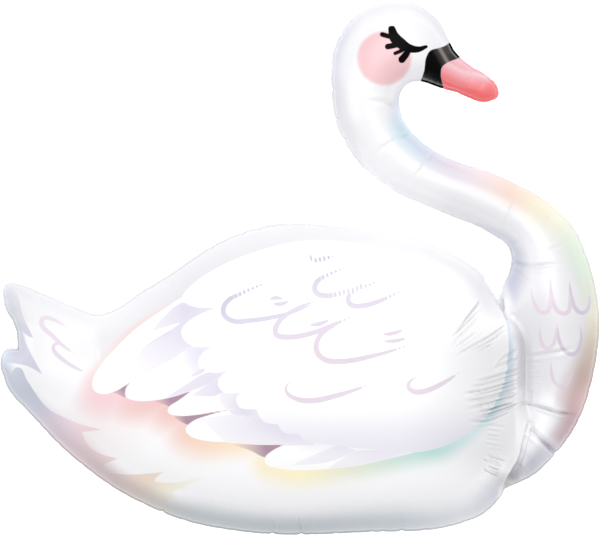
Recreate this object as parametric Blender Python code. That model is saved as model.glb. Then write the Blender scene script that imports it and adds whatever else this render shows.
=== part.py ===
"""Swan-shaped foil balloon, lying on its side: one sealed envelope of two films welded round the rim.

Blender 4.5 script, metres, +Z up.  The swan lies flat with its bill towards +X and its crown towards +Y.
The weld round the rim is level, the upper film bulges up, and the lower film bulges down to a small flat
spot on which the balloon rests at Z = 0.  The origin is under the middle of the outline.

The films bulge as an inflated pocket does: their height over the weld is the square root of the solution of
Poisson's equation inside the weld.  A long tube such as the neck comes out round, and the wide body comes
out as a flatter pillow.
"""

import math

import bmesh
import bpy
import numpy as np
from mathutils import Vector
from mathutils.geometry import delaunay_2d_cdt

MM = 0.001

# Driving dimensions, in metres.
LENGTH = 889 * MM  # along X, from the tail to the breast
WELD_WIDTH = 4.5 * MM  # the flat weld round the rim
WELD_THICKNESS = 1.2 * MM  # the two films together, where they are welded
FULLNESS = 172 * MM  # height of a film at which a wide chamber stops getting fuller
FLAT_SPOT_DEPTH = 3 * MM  # how far the lower film is pressed flat where it rests
SEAL_WIDTH = 8 * MM  # the inner weld between the body and the breast
FOLD_DEPTH = 0.4  # share of the height that is lost along a fold
FOLD_WIDTH = 22 * MM  # how fast the film rises again beside a fold

# Spacing of the mesh's points, in metres.
RIM_STEP = 15 * MM  # along straight stretches of the rim
RIM_STEP_LEAST = 5 * MM  # along its tightest bends
BEND_SHARE = 0.4  # step along a bend, as a share of its radius
ROWS = (3.2 * MM, 10 * MM, 21 * MM)  # rows of points inside the welds, where the film rises steeply
SEAL_STEP = 9 * MM
FIELD_STEP = 20 * MM
CURVE_STEPS = 24  # points worked out on each stretch between two knots

# The knots of the outline, clockwise from the crown, in millimetres from the middle of the swan.
OUTLINE = {
    "crown": [(146, 395), (194, 378)],
    "bill": [(235, 315), (295, 260), (287, 248), (220, 263)],
    "throat": [(161, 272), (148, 244), (177, 191)],
    "front of the neck": [(309, 130), (372, 94), (419, 36)],
    "breast": [(433, -170), (357, -300), (305, -328)],
    "belly": [(293, -347), (260, -372), (93, -393), (-125, -386), (-229, -352)],
    "rump": [(-321, -294), (-400, -217), (-437, -170)],
    "tail": [(-438, -123), (-419, -120), (-421, -93), (-439, -53), (-438, -27), (-430, -22)],
    "root of the tail": [(-323, -62), (-301, -69)],
    "back": [(-223, -28), (-81, 54), (16, 65), (257, 4), (293, -45)],
    "back of the neck": [(312, 23), (286, 48), (209, 82), (124, 123), (72, 176)],
    "nape": [(48, 246), (70, 361)],
}
# Knots at which the rim turns a corner: under the breast, in the tail, and behind the neck.
UNDER_BREAST = (305, -328)
IN_TAIL = (-419, -120)
BEHIND_NECK = (293, -45)

# The inner weld runs down between the body and the breast, and a fold runs on from each of its ends.
SEAL = [(307, -77), (327, -97), (332, -143), (331, -200)]
FOLDS = [
    [SEAL[0], (299, -62), BEHIND_NECK],
    [SEAL[-1], (342, -228), (336, -262), (327, -290), UNDER_BREAST],
]


def clear_scene():
    for obj in list(bpy.data.objects):
        bpy.data.objects.remove(obj)


def smooth_line(knots, closed=False, corners=()):
    """Points in metres along a smooth curve through knots in millimetres."""
    curve = bpy.data.curves.new("guide", "CURVE")
    curve.dimensions = "2D"
    curve.resolution_u = CURVE_STEPS
    spline = curve.splines.new("BEZIER")
    spline.bezier_points.add(len(knots) - 1)
    for point, knot in zip(spline.bezier_points, knots):
        point.co = (knot[0] * MM, knot[1] * MM, 0)
        kind = "VECTOR" if knot in corners else "AUTO"
        point.handle_left_type = kind
        point.handle_right_type = kind
    spline.use_cyclic_u = closed
    guide = bpy.data.objects.new("guide", curve)
    bpy.context.scene.collection.objects.link(guide)
    bpy.context.view_layer.update()
    points = np.array([vertex.co[:2] for vertex in guide.to_mesh().vertices])
    guide.to_mesh_clear()
    bpy.data.objects.remove(guide)
    bpy.data.curves.remove(curve)
    return points


def centred(points, outline):
    """Points scaled and moved so that the outline has the swan's length and lies about the origin."""
    low = outline.min(axis=0)
    high = outline.max(axis=0)
    return (points - (low + high) / 2) * LENGTH / (high[0] - low[0])


def spaced(line, step):
    """An open line walked again, with points evenly apart and about a step between them."""
    lengths = np.linalg.norm(np.diff(line, axis=0), axis=1)
    run = np.concatenate(([0], np.cumsum(lengths)))
    marks = np.linspace(0, run[-1], max(2, round(run[-1] / step) + 1))
    return np.column_stack([np.interp(marks, run, line[:, axis]) for axis in (0, 1)])


def spaced_loop(loop, corners):
    """The outline walked again from corner to corner, with closer points where it bends tighter."""
    starts = sorted(int(np.argmin(np.linalg.norm(loop - corner, axis=1))) for corner in corners)
    walked = []
    for start, end in zip(starts, starts[1:] + [starts[0] + len(loop)]):
        stretch = loop[np.arange(start, end + 1) % len(loop)]
        edges = np.diff(stretch, axis=0)
        lengths = np.linalg.norm(edges, axis=1)
        heading = np.unwrap(np.arctan2(edges[:, 1], edges[:, 0]))
        middle = np.cumsum(lengths) - lengths / 2
        bend = np.abs(np.gradient(heading, middle))
        step = np.clip(BEND_SHARE / np.maximum(bend, 1e-6), RIM_STEP_LEAST, RIM_STEP)
        count = np.concatenate(([0], np.cumsum(lengths / step)))
        marks = np.linspace(0, count[-1], round(count[-1]) + 1)[:-1]
        walked.append(np.column_stack([np.interp(marks, count, stretch[:, axis]) for axis in (0, 1)]))
    return np.vstack(walked)


def outward_normals(loop):
    """Mitred normals at a clockwise loop's points, longer where it turns."""
    before = loop - np.roll(loop, 1, axis=0)
    after = np.roll(before, -1, axis=0)
    before = before / np.linalg.norm(before, axis=1)[:, None]
    after = after / np.linalg.norm(after, axis=1)[:, None]
    bisector = before + after
    normal = np.column_stack((-bisector[:, 1], bisector[:, 0]))
    return normal / (1 + np.sum(before * after, axis=1))[:, None]


def strip_loop(line, width):
    """A clockwise loop round a line, at half the width from it, with a point at each end."""
    along = np.gradient(line, axis=0)
    side = np.column_stack((along[:, 1], -along[:, 0])) / np.linalg.norm(along, axis=1)[:, None]
    return np.vstack((line[0], (line - side * width / 2)[1:-1], line[-1], (line + side * width / 2)[-2:0:-1]))


def distance_to(points, line, closed):
    """The distance from each point to the nearest place on a line."""
    start = line if closed else line[:-1]
    edge = np.roll(line, -1, axis=0)[: len(start)] - start
    offset = points[:, None, :] - start[None, :, :]
    share = np.clip(np.sum(offset * edge, axis=2) / np.sum(edge * edge, axis=1), 0, 1)
    return np.linalg.norm(offset - share[:, :, None] * edge, axis=2).min(axis=1)


def inside(points, loop):
    """Whether each point is inside a closed loop, by counting the edges that it sees to its right."""
    x, y = points[:, 0, None], points[:, 1, None]
    ax, ay = loop[:, 0], loop[:, 1]
    bx, by = np.roll(ax, -1), np.roll(ay, -1)
    crosses = (ay > y) != (by > y)
    rise = np.where(by == ay, 1, by - ay)
    at = ax + (y - ay) / rise * (bx - ax)
    return np.sum(crosses & (x < at), axis=1) % 2 == 1


def field_points(weld, seal, folds):
    """Free points inside the weld: rows that follow the welds, then an even triangular field."""
    taken = np.vstack([weld, seal] + folds)
    for depth in ROWS:
        row = np.vstack((weld - outward_normals(weld) * depth, seal + outward_normals(seal) * depth))
        nearest = np.minimum(distance_to(row, weld, True), distance_to(row, seal, True))
        row = row[inside(row, weld) & ~inside(row, seal) & (nearest > 0.93 * depth)]
        taken = thinned(taken, row, 0.75 * max(depth, RIM_STEP_LEAST))
    low = weld.min(axis=0)
    high = weld.max(axis=0)
    rise = FIELD_STEP * math.sqrt(3) / 2
    grid = []
    for number, y in enumerate(np.arange(low[1], high[1], rise)):
        xs = np.arange(low[0] + (number % 2) * FIELD_STEP / 2, high[0], FIELD_STEP)
        grid.append(np.column_stack((xs, np.full(len(xs), y))))
    grid = np.vstack(grid)
    nearest = np.minimum(distance_to(grid, weld, True), distance_to(grid, seal, True))
    grid = grid[inside(grid, weld) & ~inside(grid, seal) & (nearest > ROWS[-1] + FIELD_STEP / 3)]
    taken = thinned(taken, grid, 0.6 * FIELD_STEP)
    fixed = len(weld) + len(seal) + sum(len(fold) for fold in folds)
    return taken[fixed:]


def thinned(taken, offered, apart):
    """The taken points, with each offered point added that is far enough from all of them."""
    points = list(taken)
    for point in offered:
        if np.min(np.linalg.norm(np.array(points) - point, axis=1)) > apart:
            points.append(point)
    return np.array(points)


def loop_edges(start, count):
    return [(start + i, start + (i + 1) % count) for i in range(count)]


def line_edges(start, count):
    return [(start + i, start + i + 1) for i in range(count - 1)]


def film_mesh(outline, weld, seal, folds):
    """Triangles of one film laid flat, and which of its points are welded."""
    free = field_points(weld, seal, folds)
    points = [outline, weld, seal] + folds + [free]
    edges = []
    start = 0
    for group in (outline, weld, seal):
        edges += loop_edges(start, len(group))
        start += len(group)
    welded_count = start
    for fold in folds:
        edges += line_edges(start, len(fold))
        start += len(fold)
    flat = [Vector(point) for point in np.vstack(points)]
    places, _, triangles, origins, _, _ = delaunay_2d_cdt(flat, edges, [], 1, 1e-7)
    welded = np.array([any(origin < welded_count for origin in found) for found in origins])
    places = np.array([place[:] for place in places])
    return places, np.array(triangles), welded


def bulge(points, triangles, welded):
    """Heights of an inflated film over the welds, from Poisson's equation on the flat triangles."""
    corners = points[triangles]
    sides = np.roll(corners, -1, axis=1) - np.roll(corners, 1, axis=1)
    area = np.abs(sides[:, 0, 0] * sides[:, 1, 1] - sides[:, 0, 1] * sides[:, 1, 0]) / 2
    stiffness = np.einsum("tik,tjk->tij", sides, sides) / (4 * area)[:, None, None]
    count = len(points)
    load = np.bincount(triangles.ravel(), np.repeat(area / 3, 3), count)
    load[welded] = 0
    rows = np.repeat(triangles, 3, axis=1).ravel()
    columns = np.tile(triangles, (1, 3)).ravel()

    def apply(values):
        spread = np.bincount(rows, stiffness.reshape(-1) * values[columns], count)
        spread[welded] = 0
        return spread

    solution = np.zeros(count)
    residual = load.copy()
    direction = residual.copy()
    size = residual @ residual
    for _ in range(2000):
        spread = apply(direction)
        step = size / (direction @ spread)
        solution += step * direction
        residual -= step * spread
        next_size = residual @ residual
        if next_size < 1e-24:
            break
        direction = residual + direction * next_size / size
        size = next_size
    tube = np.sqrt(2 * np.maximum(solution, 0))
    return tube / np.cbrt(1 + (tube / FULLNESS) ** 3)


def film_heights(points, triangles, welded, folds):
    heights = bulge(points, triangles, welded)
    for fold in folds:
        near = np.exp(-distance_to(points, fold, False) / FOLD_WIDTH)
        heights *= 1 - FOLD_DEPTH * near
    heights[welded] = 0
    return heights + WELD_THICKNESS / 2


def foil_material():
    material = bpy.data.materials.new("pearl_foil")
    material.use_nodes = True
    shader = material.node_tree.nodes["Principled BSDF"]
    shader.inputs["Base Color"].default_value = (0.9, 0.89, 0.92, 1)
    shader.inputs["Metallic"].default_value = 0.0
    shader.inputs["Roughness"].default_value = 0.28
    return material


def closed_envelope(points, triangles, heights, rim_count):
    """The two films as one closed solid, joined by the cut edge of the weld."""
    lowest = FLAT_SPOT_DEPTH - heights.max()
    build = bmesh.new()
    upper = [build.verts.new((x, y, z - lowest)) for (x, y), z in zip(points, heights)]
    lower = [build.verts.new((x, y, max(-z, lowest) - lowest)) for (x, y), z in zip(points, heights)]
    for a, b, c in triangles:
        build.faces.new((upper[a], upper[b], upper[c]))
        build.faces.new((lower[c], lower[b], lower[a]))
    for a, b in loop_edges(0, rim_count):
        build.faces.new((upper[a], upper[b], lower[b], lower[a]))
    bmesh.ops.recalc_face_normals(build, faces=build.faces)
    mesh = bpy.data.meshes.new("balloon_envelope")
    build.to_mesh(mesh)
    build.free()
    mesh.shade_smooth()
    mesh.set_sharp_from_angle(angle=math.radians(50))
    return mesh


def make_envelope():
    knots = [knot for stretch in OUTLINE.values() for knot in stretch]
    corners = (UNDER_BREAST, IN_TAIL, BEHIND_NECK)
    traced = spaced_loop(smooth_line(knots, True, corners), np.array(corners) * MM)
    outline = centred(traced, traced)
    weld = outline - outward_normals(outline) * WELD_WIDTH
    seal = strip_loop(spaced(centred(smooth_line(SEAL), traced), SEAL_STEP), SEAL_WIDTH)
    folds = [spaced(centred(smooth_line(fold), traced), SEAL_STEP)[1:-1] for fold in FOLDS]
    points, triangles, welded = film_mesh(outline, weld, seal, folds)
    heights = film_heights(points, triangles, welded, folds)
    mesh = closed_envelope(points, triangles, heights, len(outline))
    mesh.materials.append(foil_material())
    envelope = bpy.data.objects.new("balloon_envelope", mesh)
    bpy.context.scene.collection.objects.link(envelope)
    return envelope


def main():
    clear_scene()
    make_envelope()


main()
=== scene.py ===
"""A filled swan foil balloon: two printed films, the weld round their rim and an inner weld.

Every length is in metres.  The swan lies on its back film, with its bill towards +X and its crown towards
+Y.  Places in the print and in the folds are given in millimetres from the middle of the outline.
"""

import math
from collections import namedtuple
from functools import lru_cache, partial

import bpy
import numpy as np
from bpy.props import FloatProperty, FloatVectorProperty, PointerProperty
from bpy.types import Operator, Panel, PropertyGroup
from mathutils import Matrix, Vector
from mathutils.geometry import delaunay_2d_cdt
from mathutils.kdtree import KDTree


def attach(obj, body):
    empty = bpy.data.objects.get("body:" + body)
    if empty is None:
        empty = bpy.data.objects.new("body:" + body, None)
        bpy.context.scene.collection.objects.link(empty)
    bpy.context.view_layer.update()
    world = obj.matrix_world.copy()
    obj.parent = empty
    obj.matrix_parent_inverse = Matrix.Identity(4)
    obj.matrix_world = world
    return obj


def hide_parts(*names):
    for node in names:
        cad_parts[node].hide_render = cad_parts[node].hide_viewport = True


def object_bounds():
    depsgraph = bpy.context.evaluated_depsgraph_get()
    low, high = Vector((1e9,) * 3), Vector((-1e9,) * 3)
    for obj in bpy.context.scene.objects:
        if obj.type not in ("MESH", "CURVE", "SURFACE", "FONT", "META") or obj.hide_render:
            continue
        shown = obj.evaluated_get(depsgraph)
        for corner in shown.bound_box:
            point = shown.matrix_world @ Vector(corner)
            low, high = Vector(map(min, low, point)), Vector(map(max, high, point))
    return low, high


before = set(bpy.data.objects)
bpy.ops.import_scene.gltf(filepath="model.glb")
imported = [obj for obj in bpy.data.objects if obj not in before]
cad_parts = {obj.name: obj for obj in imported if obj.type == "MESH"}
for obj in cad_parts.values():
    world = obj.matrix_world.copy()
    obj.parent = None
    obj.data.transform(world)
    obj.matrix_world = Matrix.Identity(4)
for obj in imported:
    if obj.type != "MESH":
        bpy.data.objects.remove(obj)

bl_info = {
    "name": "Swan foil balloon",
    "version": (1, 0, 0),
    "blender": (4, 5, 0),
    "location": "3D Viewport > Sidebar > Swan balloon",
    "description": "Builds a filled swan balloon with its printed films, folds and welds",
    "category": "Add Mesh",
}

MM = 0.001
BODY = "root"
ENVELOPE = "balloon_envelope"
FOIL = "printed_pearl_foil"
CAD_BOX = [list(corner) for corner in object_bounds()]
SEED = 7
# How far a curve's tangents reach, against the distance between its knots.
CURVE_PULL = 1.08

# ----- Lines and distances -----


def unit(vectors):
    """Vectors with the same directions and a length of one."""
    return vectors / np.maximum(np.linalg.norm(vectors, axis=-1, keepdims=True), 1e-12)


def smooth(knots, closed=False, corners=(), steps=8):
    """Points along a smooth curve through the knots, which turns sharply only at the corners.

    steps is the number of points on each stretch, or a list with one number for each stretch.
    """
    knots = np.asarray(knots, float)
    sharp = np.zeros(len(knots), bool)
    for corner in corners:
        sharp[np.argmin(np.linalg.norm(knots - corner, axis=1))] = True
    ahead = unit(np.roll(knots, -1, axis=0) - knots)
    behind = np.roll(ahead, 1, axis=0)
    if not closed:
        behind[0] = ahead[0]
        ahead[-1] = behind[-1]
    tangent = unit(ahead + behind)
    leaving = np.where(sharp[:, None], ahead, tangent)
    arriving = np.where(sharp[:, None], behind, tangent)
    stretches = len(knots) if closed else len(knots) - 1
    counts = [steps] * stretches if np.isscalar(steps) else steps
    points = []
    for here, count in zip(range(stretches), counts):
        there = (here + 1) % len(knots)
        reach = CURVE_PULL * np.linalg.norm(knots[there] - knots[here])
        share = np.linspace(0, 1, count, endpoint=False)[:, None]
        points.append(
            (2 * share**3 - 3 * share**2 + 1) * knots[here]
            + (share**3 - 2 * share**2 + share) * leaving[here] * reach
            + (3 * share**2 - 2 * share**3) * knots[there]
            + (share**3 - share**2) * arriving[there] * reach
        )
    if not closed:
        points.append(knots[-1:])
    return np.vstack(points)


def respaced(line, step):
    """An open line walked again with even steps."""
    run = np.concatenate(([0], np.cumsum(np.linalg.norm(np.diff(line, axis=0), axis=1))))
    marks = np.linspace(0, run[-1], max(2, round(run[-1] / step) + 1))
    return np.column_stack([np.interp(marks, run, line[:, axis]) for axis in range(line.shape[1])])


def to_line(points, line, closed=False):
    """Distance from each point to a line, and the share of the way along it where it is nearest."""
    start = line if closed else line[:-1]
    edge = np.roll(line, -1, axis=0)[: len(start)] - start
    length = np.linalg.norm(edge, axis=1)
    run = np.concatenate(([0], np.cumsum(length)))
    offset = points[:, None, :] - start[None, :, :]
    share = np.clip(np.sum(offset * edge, axis=2) / np.maximum(length**2, 1e-12), 0, 1)
    gap = np.linalg.norm(offset - share[:, :, None] * edge, axis=2)
    best = np.argmin(gap, axis=1)
    rows = np.arange(len(points))
    return gap[rows, best], (run[best] + share[rows, best] * length[best]) / run[-1]


def rim_place(points, line):
    """Distance from each point to a closed line, and the run along the line to the nearest place on it."""
    tree = KDTree(len(line))
    for number, knot in enumerate(line):
        tree.insert((knot[0], knot[1], 0), number)
    tree.balance()
    nearest = np.array([tree.find((x, y, 0))[1] for x, y in points])
    edges = np.roll(line, -1, axis=0) - line
    lengths = np.linalg.norm(edges, axis=1)
    run = np.cumsum(lengths) - lengths
    best_gap = np.full(len(points), np.inf)
    best_run = np.zeros(len(points))
    for edge in ((nearest - 1) % len(line), nearest):
        offset = points - line[edge]
        share = np.clip(np.sum(offset * edges[edge], axis=1) / lengths[edge] ** 2, 0, 1)
        gap = np.linalg.norm(offset - share[:, None] * edges[edge], axis=1)
        closer = gap < best_gap
        best_gap[closer] = gap[closer]
        best_run[closer] = (run[edge] + share * lengths[edge])[closer]
    return best_gap, best_run


def inside(points, loop):
    """Whether each point is inside a closed loop."""
    x, y = points[:, 0, None], points[:, 1, None]
    ax, ay = loop[:, 0], loop[:, 1]
    bx, by = np.roll(ax, -1), np.roll(ay, -1)
    rise = np.where(by == ay, 1, by - ay)
    crosses = ((ay > y) != (by > y)) & (x < ax + (y - ay) / rise * (bx - ax))
    return np.sum(crosses, axis=1) % 2 == 1


def nearby(points, line, margin):
    """The numbers of the points within a line's box, grown by a margin."""
    low = line.min(axis=0) - margin
    high = line.max(axis=0) + margin
    return np.flatnonzero(np.all((points >= low) & (points <= high), axis=1))


def eased(low, high, values):
    """Zero at low, one at high, and smooth between them."""
    share = np.clip((values - low) / (high - low), 0, 1)
    return share * share * (3 - 2 * share)


def outward(loop):
    """Mitred outward normals at a clockwise loop's points."""
    before = unit(loop - np.roll(loop, 1, axis=0))
    after = np.roll(before, -1, axis=0)
    bisector = before + after
    normal = np.column_stack((-bisector[:, 1], bisector[:, 0]))
    return normal / np.maximum(1 + np.sum(before * after, axis=1), 0.4)[:, None]


# ----- The plan of a film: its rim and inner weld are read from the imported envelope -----

# A film laid flat: its points and triangles, the rim, the loop of its rim weld, the middle line of its
# inner weld, the height of the welds, the film's height over each point, and each point's number on the
# inner weld's loop, or -1.
Plan = namedtuple("Plan", "points triangles rim weld seal_line level heights seal_place")
CAD_WELD_THICKNESS = 1.2 * MM
# Flat parts of the envelope that are farther in from the rim than this are the inner weld.
RIM_REACH = 14 * MM
# The rim has a corner where it turns by more than this.
CORNER_TURN = math.radians(34)
# The film's height is solved on coarse triangles, in FIRST_ROUNDS steps at most.  HALVINGS times each
# triangle is then cut into four and the height solved again, in LATER_ROUNDS steps.  A coarse edge ends up
# in DENSE parts.
HALVINGS = 2
DENSE = 2**HALVINGS
FIRST_ROUNDS = 500
LATER_ROUNDS = 90
# Rows of points that follow the welds, at these distances from them.
ROWS = (2.5 * MM, 7 * MM, 14 * MM)
# Free points keep these shares of their row's depth, or of the field's step, from the other points, and a
# row is cut off where it comes nearer to a weld than ROW_FIT of its depth.
ROW_CLEARANCE = 0.75
FIELD_CLEARANCE = 0.62
ROW_FIT = 0.93
# The folds that run on from the inner weld's ends, to the rim behind the neck and under the breast.
UPPER_FOLD = [(299, -62), (293, -45)]
LOWER_FOLD = [(342, -228), (336, -262), (327, -290), (305, -328)]
# The film's points are finer within these reaches of the inner weld, of its folds and of some more lines.
SEAL_REACH = 50 * MM
FOLD_REACH = 34 * MM
FINE_LINES = [
    ([(150, 330), (205, 300)], 34), ([(271, -44), (222, -104)], 28), ([(286, -240), (288, -304)], 24),
]
# The net of points is evened out farther from the welds than this.
EVEN_GAP = 5 * MM
# How wide those folds and the valley over the inner weld are.
FOLD_WIDTH = 22 * MM
VALLEY_WIDTH = 16 * MM
# The two chambers press together over the inner weld: the film's points within LEAN_START of it close over
# it, and those within LEAN_REACH lean towards it.
LEAN_REACH = 48 * MM
LEAN_START = 22 * MM
# There the film is raised to a share of the height of its shoulders, less a groove along the weld.  The
# shoulders lie from SHOULDER_START to BRIDGE_END from the weld.  The raise fades out between BRIDGE_FADE
# and BRIDGE_END, grows from nothing at the rim over BRIDGE_RIM, and is rounded where it meets the film.
SHOULDER_START = 1.1 * LEAN_START
SHOULDER_SPREAD = 0.7 * LEAN_START
BRIDGE_FADE = 1.3 * LEAN_START
BRIDGE_END = 1.6 * LEAN_START
BRIDGE_RIM = 9 * MM
BRIDGE_ROUNDING = 3 * MM
TOUCH_LEVEL = 0.9
GROOVE_DEPTH = 0.1
GROOVE_WIDTH = 11 * MM


def mesh_arrays(mesh):
    """A mesh's points, with doubles merged, and its triangles."""
    places = np.empty(len(mesh.vertices) * 3)
    mesh.vertices.foreach_get("co", places)
    merged, back = np.unique(np.round(places.reshape(-1, 3), 6), axis=0, return_inverse=True)
    triangles = np.empty(len(mesh.polygons) * 3, np.int64)
    mesh.polygons.foreach_get("vertices", triangles)
    return merged, back.ravel()[triangles].reshape(-1, 3)


@lru_cache
def cad_lines():
    """The knots of the envelope's rim, the middle line of its inner weld, and the height of both."""
    places, triangles = mesh_arrays(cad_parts[ENVELOPE].data)
    corners = places[triangles]
    normal = unit(np.cross(corners[:, 1] - corners[:, 0], corners[:, 2] - corners[:, 0]))
    thin = np.ptp(corners[:, :, 2], axis=1) < 2 * CAD_WELD_THICKNESS
    wall = triangles[thin & (np.abs(normal[:, 2]) < 0.05)]
    level = places[wall.ravel(), 2].mean()
    after = {}
    for triangle in wall:
        for a, b in zip(triangle, np.roll(triangle, -1)):
            if places[a, 2] > level and places[b, 2] > level:
                after[b] = a
    walked = [next(iter(after))]
    while len(walked) < len(after):
        walked.append(after[walked[-1]])
    rim = places[walked, :2]
    if np.sum(rim[:, 0] * np.roll(rim[:, 1], -1) - np.roll(rim[:, 0], -1) * rim[:, 1]) > 0:
        rim = rim[::-1]
    flat = np.unique(triangles[thin & (normal[:, 2] > 0.999)])
    over_level = places[flat, 2] - level - CAD_WELD_THICKNESS / 2
    flat = places[flat[np.abs(over_level) < CAD_WELD_THICKNESS / 4], :2]
    strip = flat[to_line(flat, rim, True)[0] > RIM_REACH]
    bend = np.polyfit(strip[:, 1], strip[:, 0], 4)
    along = np.linspace(strip[:, 1].max(), strip[:, 1].min(), 40)
    return rim, np.column_stack((np.polyval(bend, along), along)), level


def rim_curve(knots, step):
    """The rim as a smooth loop, with each coarse step cut into DENSE parts."""
    turn = unit(np.roll(knots, -1, axis=0) - knots)
    bend = np.sum(turn * np.roll(turn, 1, axis=0), axis=1)
    corners = knots[bend < math.cos(CORNER_TURN)]
    lengths = np.linalg.norm(np.roll(knots, -1, axis=0) - knots, axis=1)
    counts = [max(1, round(length / step)) * DENSE for length in lengths]
    return smooth(knots, True, corners, counts)


def strip_loop(line, width):
    """A clockwise loop round a line, with narrowing ends."""
    along = unit(np.gradient(line, axis=0))
    side = np.column_stack((along[:, 1], -along[:, 0]))
    share = np.linspace(-1, 1, len(line))[:, None]
    half = side * width / 2 * np.sqrt(1 - share**8)
    return np.vstack((line - half, (line + half)[-2:0:-1]))


def film_depth(points, weld, seal):
    """Each point's distance from the nearer weld, or 0 where it isn't on the film."""
    gap = np.minimum(to_line(points, weld, True)[0], to_line(points, seal, True)[0])
    return np.where(inside(points, weld) & ~inside(points, seal), gap, 0)


def spread_points(weld, seal, folds, field_step, fold_step):
    """Free points between the welds: rows that follow them, then a field, finer about the inner weld."""
    taken = np.vstack([weld, seal] + folds)
    fixed = len(taken)
    for depth in ROWS:
        row = np.vstack((weld - outward(weld) * depth, seal + outward(seal) * depth))
        for point in row[film_depth(row, weld, seal) > ROW_FIT * depth]:
            if np.min(np.linalg.norm(taken - point, axis=1)) > ROW_CLEARANCE * max(depth, 4 * MM):
                taken = np.vstack((taken, point))
    lines = [(seal, SEAL_REACH)] + [(fold, FOLD_REACH) for fold in folds]
    lines += [(np.array(line) * MM, reach * MM) for line, reach in FINE_LINES]
    low = weld.min(axis=0)
    high = weld.max(axis=0)
    for step, everywhere in ((fold_step, 0), (field_step, 1)):
        rows = []
        for number, y in enumerate(np.arange(low[1], high[1], step * math.sqrt(3) / 2)):
            xs = np.arange(low[0] + (number % 2) * step / 2, high[0], step)
            rows.append(np.column_stack((xs, np.full(len(xs), y))))
        grid = np.vstack(rows)
        grid = grid[np.min([to_line(grid, line)[0] - reach for line, reach in lines], axis=0) < everywhere]
        grid = grid[film_depth(grid, weld, seal) > ROWS[-1] + step / 3]
        gap = np.concatenate([
            np.linalg.norm(part[:, None] - taken, axis=2).min(axis=1) for part in np.array_split(grid, 20)
        ])
        taken = np.vstack((taken, grid[gap > FIELD_CLEARANCE * step]))
    return taken[fixed:]


def halved(points, triangles, places, loops, stride):
    """Each triangle cut into four, with the new points on the welds put back on their curves."""
    edges = np.sort(triangles[:, [0, 1, 1, 2, 2, 0]].reshape(-1, 2), axis=1)
    pairs, which = np.unique(edges, axis=0, return_inverse=True)
    which = which.reshape(-1, 3) + len(points)
    middle = points[pairs].mean(axis=1)
    new_places = []
    for place, loop in zip(places, loops):
        a, b = place[pairs[:, 0]], place[pairs[:, 1]]
        apart = (b - a) % len(loop)
        forward = (a >= 0) & (b >= 0) & (apart == stride)
        back = (a >= 0) & (b >= 0) & (apart == len(loop) - stride)
        spot = np.where(forward, a, b) + stride // 2
        on_loop = forward | back
        found = np.where(on_loop, spot % len(loop), -1)
        middle[on_loop] = loop[found[on_loop]]
        new_places.append(np.concatenate((place, found)))
    a, b, c = triangles.T
    ab, bc, ca = which.T
    quarters = ((a, ab, ca), (ab, b, bc), (ca, bc, c), (ab, bc, ca))
    cut = np.concatenate([np.column_stack(quarter) for quarter in quarters])
    return np.vstack((points, middle)), cut, new_places, pairs


def swell(points, triangles, fixed, guess, rounds):
    """Poisson's equation on the flat triangles, by conjugate gradients from a first guess."""
    corners = points[triangles]
    sides = np.roll(corners, -1, axis=1) - np.roll(corners, 1, axis=1)
    area = np.abs(sides[:, 0, 0] * sides[:, 1, 1] - sides[:, 0, 1] * sides[:, 1, 0]) / 2
    count = len(points)
    ends = triangles[:, [0, 1, 1, 2, 2, 0]].reshape(-1, 2)
    pull = np.column_stack([np.sum(sides[:, i] * sides[:, j], axis=1) for i, j in ((0, 1), (1, 2), (2, 0))])
    pull = (pull / (4 * area)[:, None]).ravel()
    self_pull = -np.bincount(ends[:, 0], pull, count) - np.bincount(ends[:, 1], pull, count)
    load = np.bincount(triangles.ravel(), np.repeat(area / 3, 3), count)
    scale = np.where(fixed, 0, 1 / self_pull)

    def spread(values):
        out = self_pull * values
        out += np.bincount(ends[:, 0], pull * values[ends[:, 1]], count)
        out += np.bincount(ends[:, 1], pull * values[ends[:, 0]], count)
        out[fixed] = 0
        return out

    solution = np.where(fixed, 0, guess)
    residual = np.where(fixed, 0, load - spread(solution))
    aim = scale * residual
    direction = aim.copy()
    size = residual @ aim
    for _ in range(rounds):
        out = spread(direction)
        step = size / (direction @ out)
        solution += step * direction
        residual -= step * out
        aim = scale * residual
        next_size = residual @ aim
        if next_size < 1e-16:
            break
        direction = aim + direction * next_size / size
        size = next_size
    return np.maximum(solution, 0)


def relaxed(places, triangles, free, rounds=6):
    """The places with those that are free eased towards their neighbours, which evens out an uneven net."""
    ends = triangles[:, [0, 1, 1, 2, 2, 0]].reshape(-1, 2)
    count = np.bincount(ends[:, 0], minlength=len(places)) + np.bincount(ends[:, 1], minlength=len(places))
    for _ in range(rounds):
        total = np.column_stack([
            np.bincount(ends[:, 0], places[ends[:, 1], axis], len(places))
            + np.bincount(ends[:, 1], places[ends[:, 0], axis], len(places))
            for axis in range(places.shape[1])
        ])
        middle = total / count[:, None]
        places = np.where(free[:, None], (places + middle) / 2, places)
    return places


def along_seal(points, line, width, start, power=1):
    """The points near a line along the inner weld, and how close each is, from 0 to 1, less at its ends."""
    near = nearby(points, line, 6 * width / power)
    gap, share = to_line(points[near], line)
    return near, eased(*start, share) * eased(1, 0.75, share) * np.exp(-((gap / width) ** power))


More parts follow.
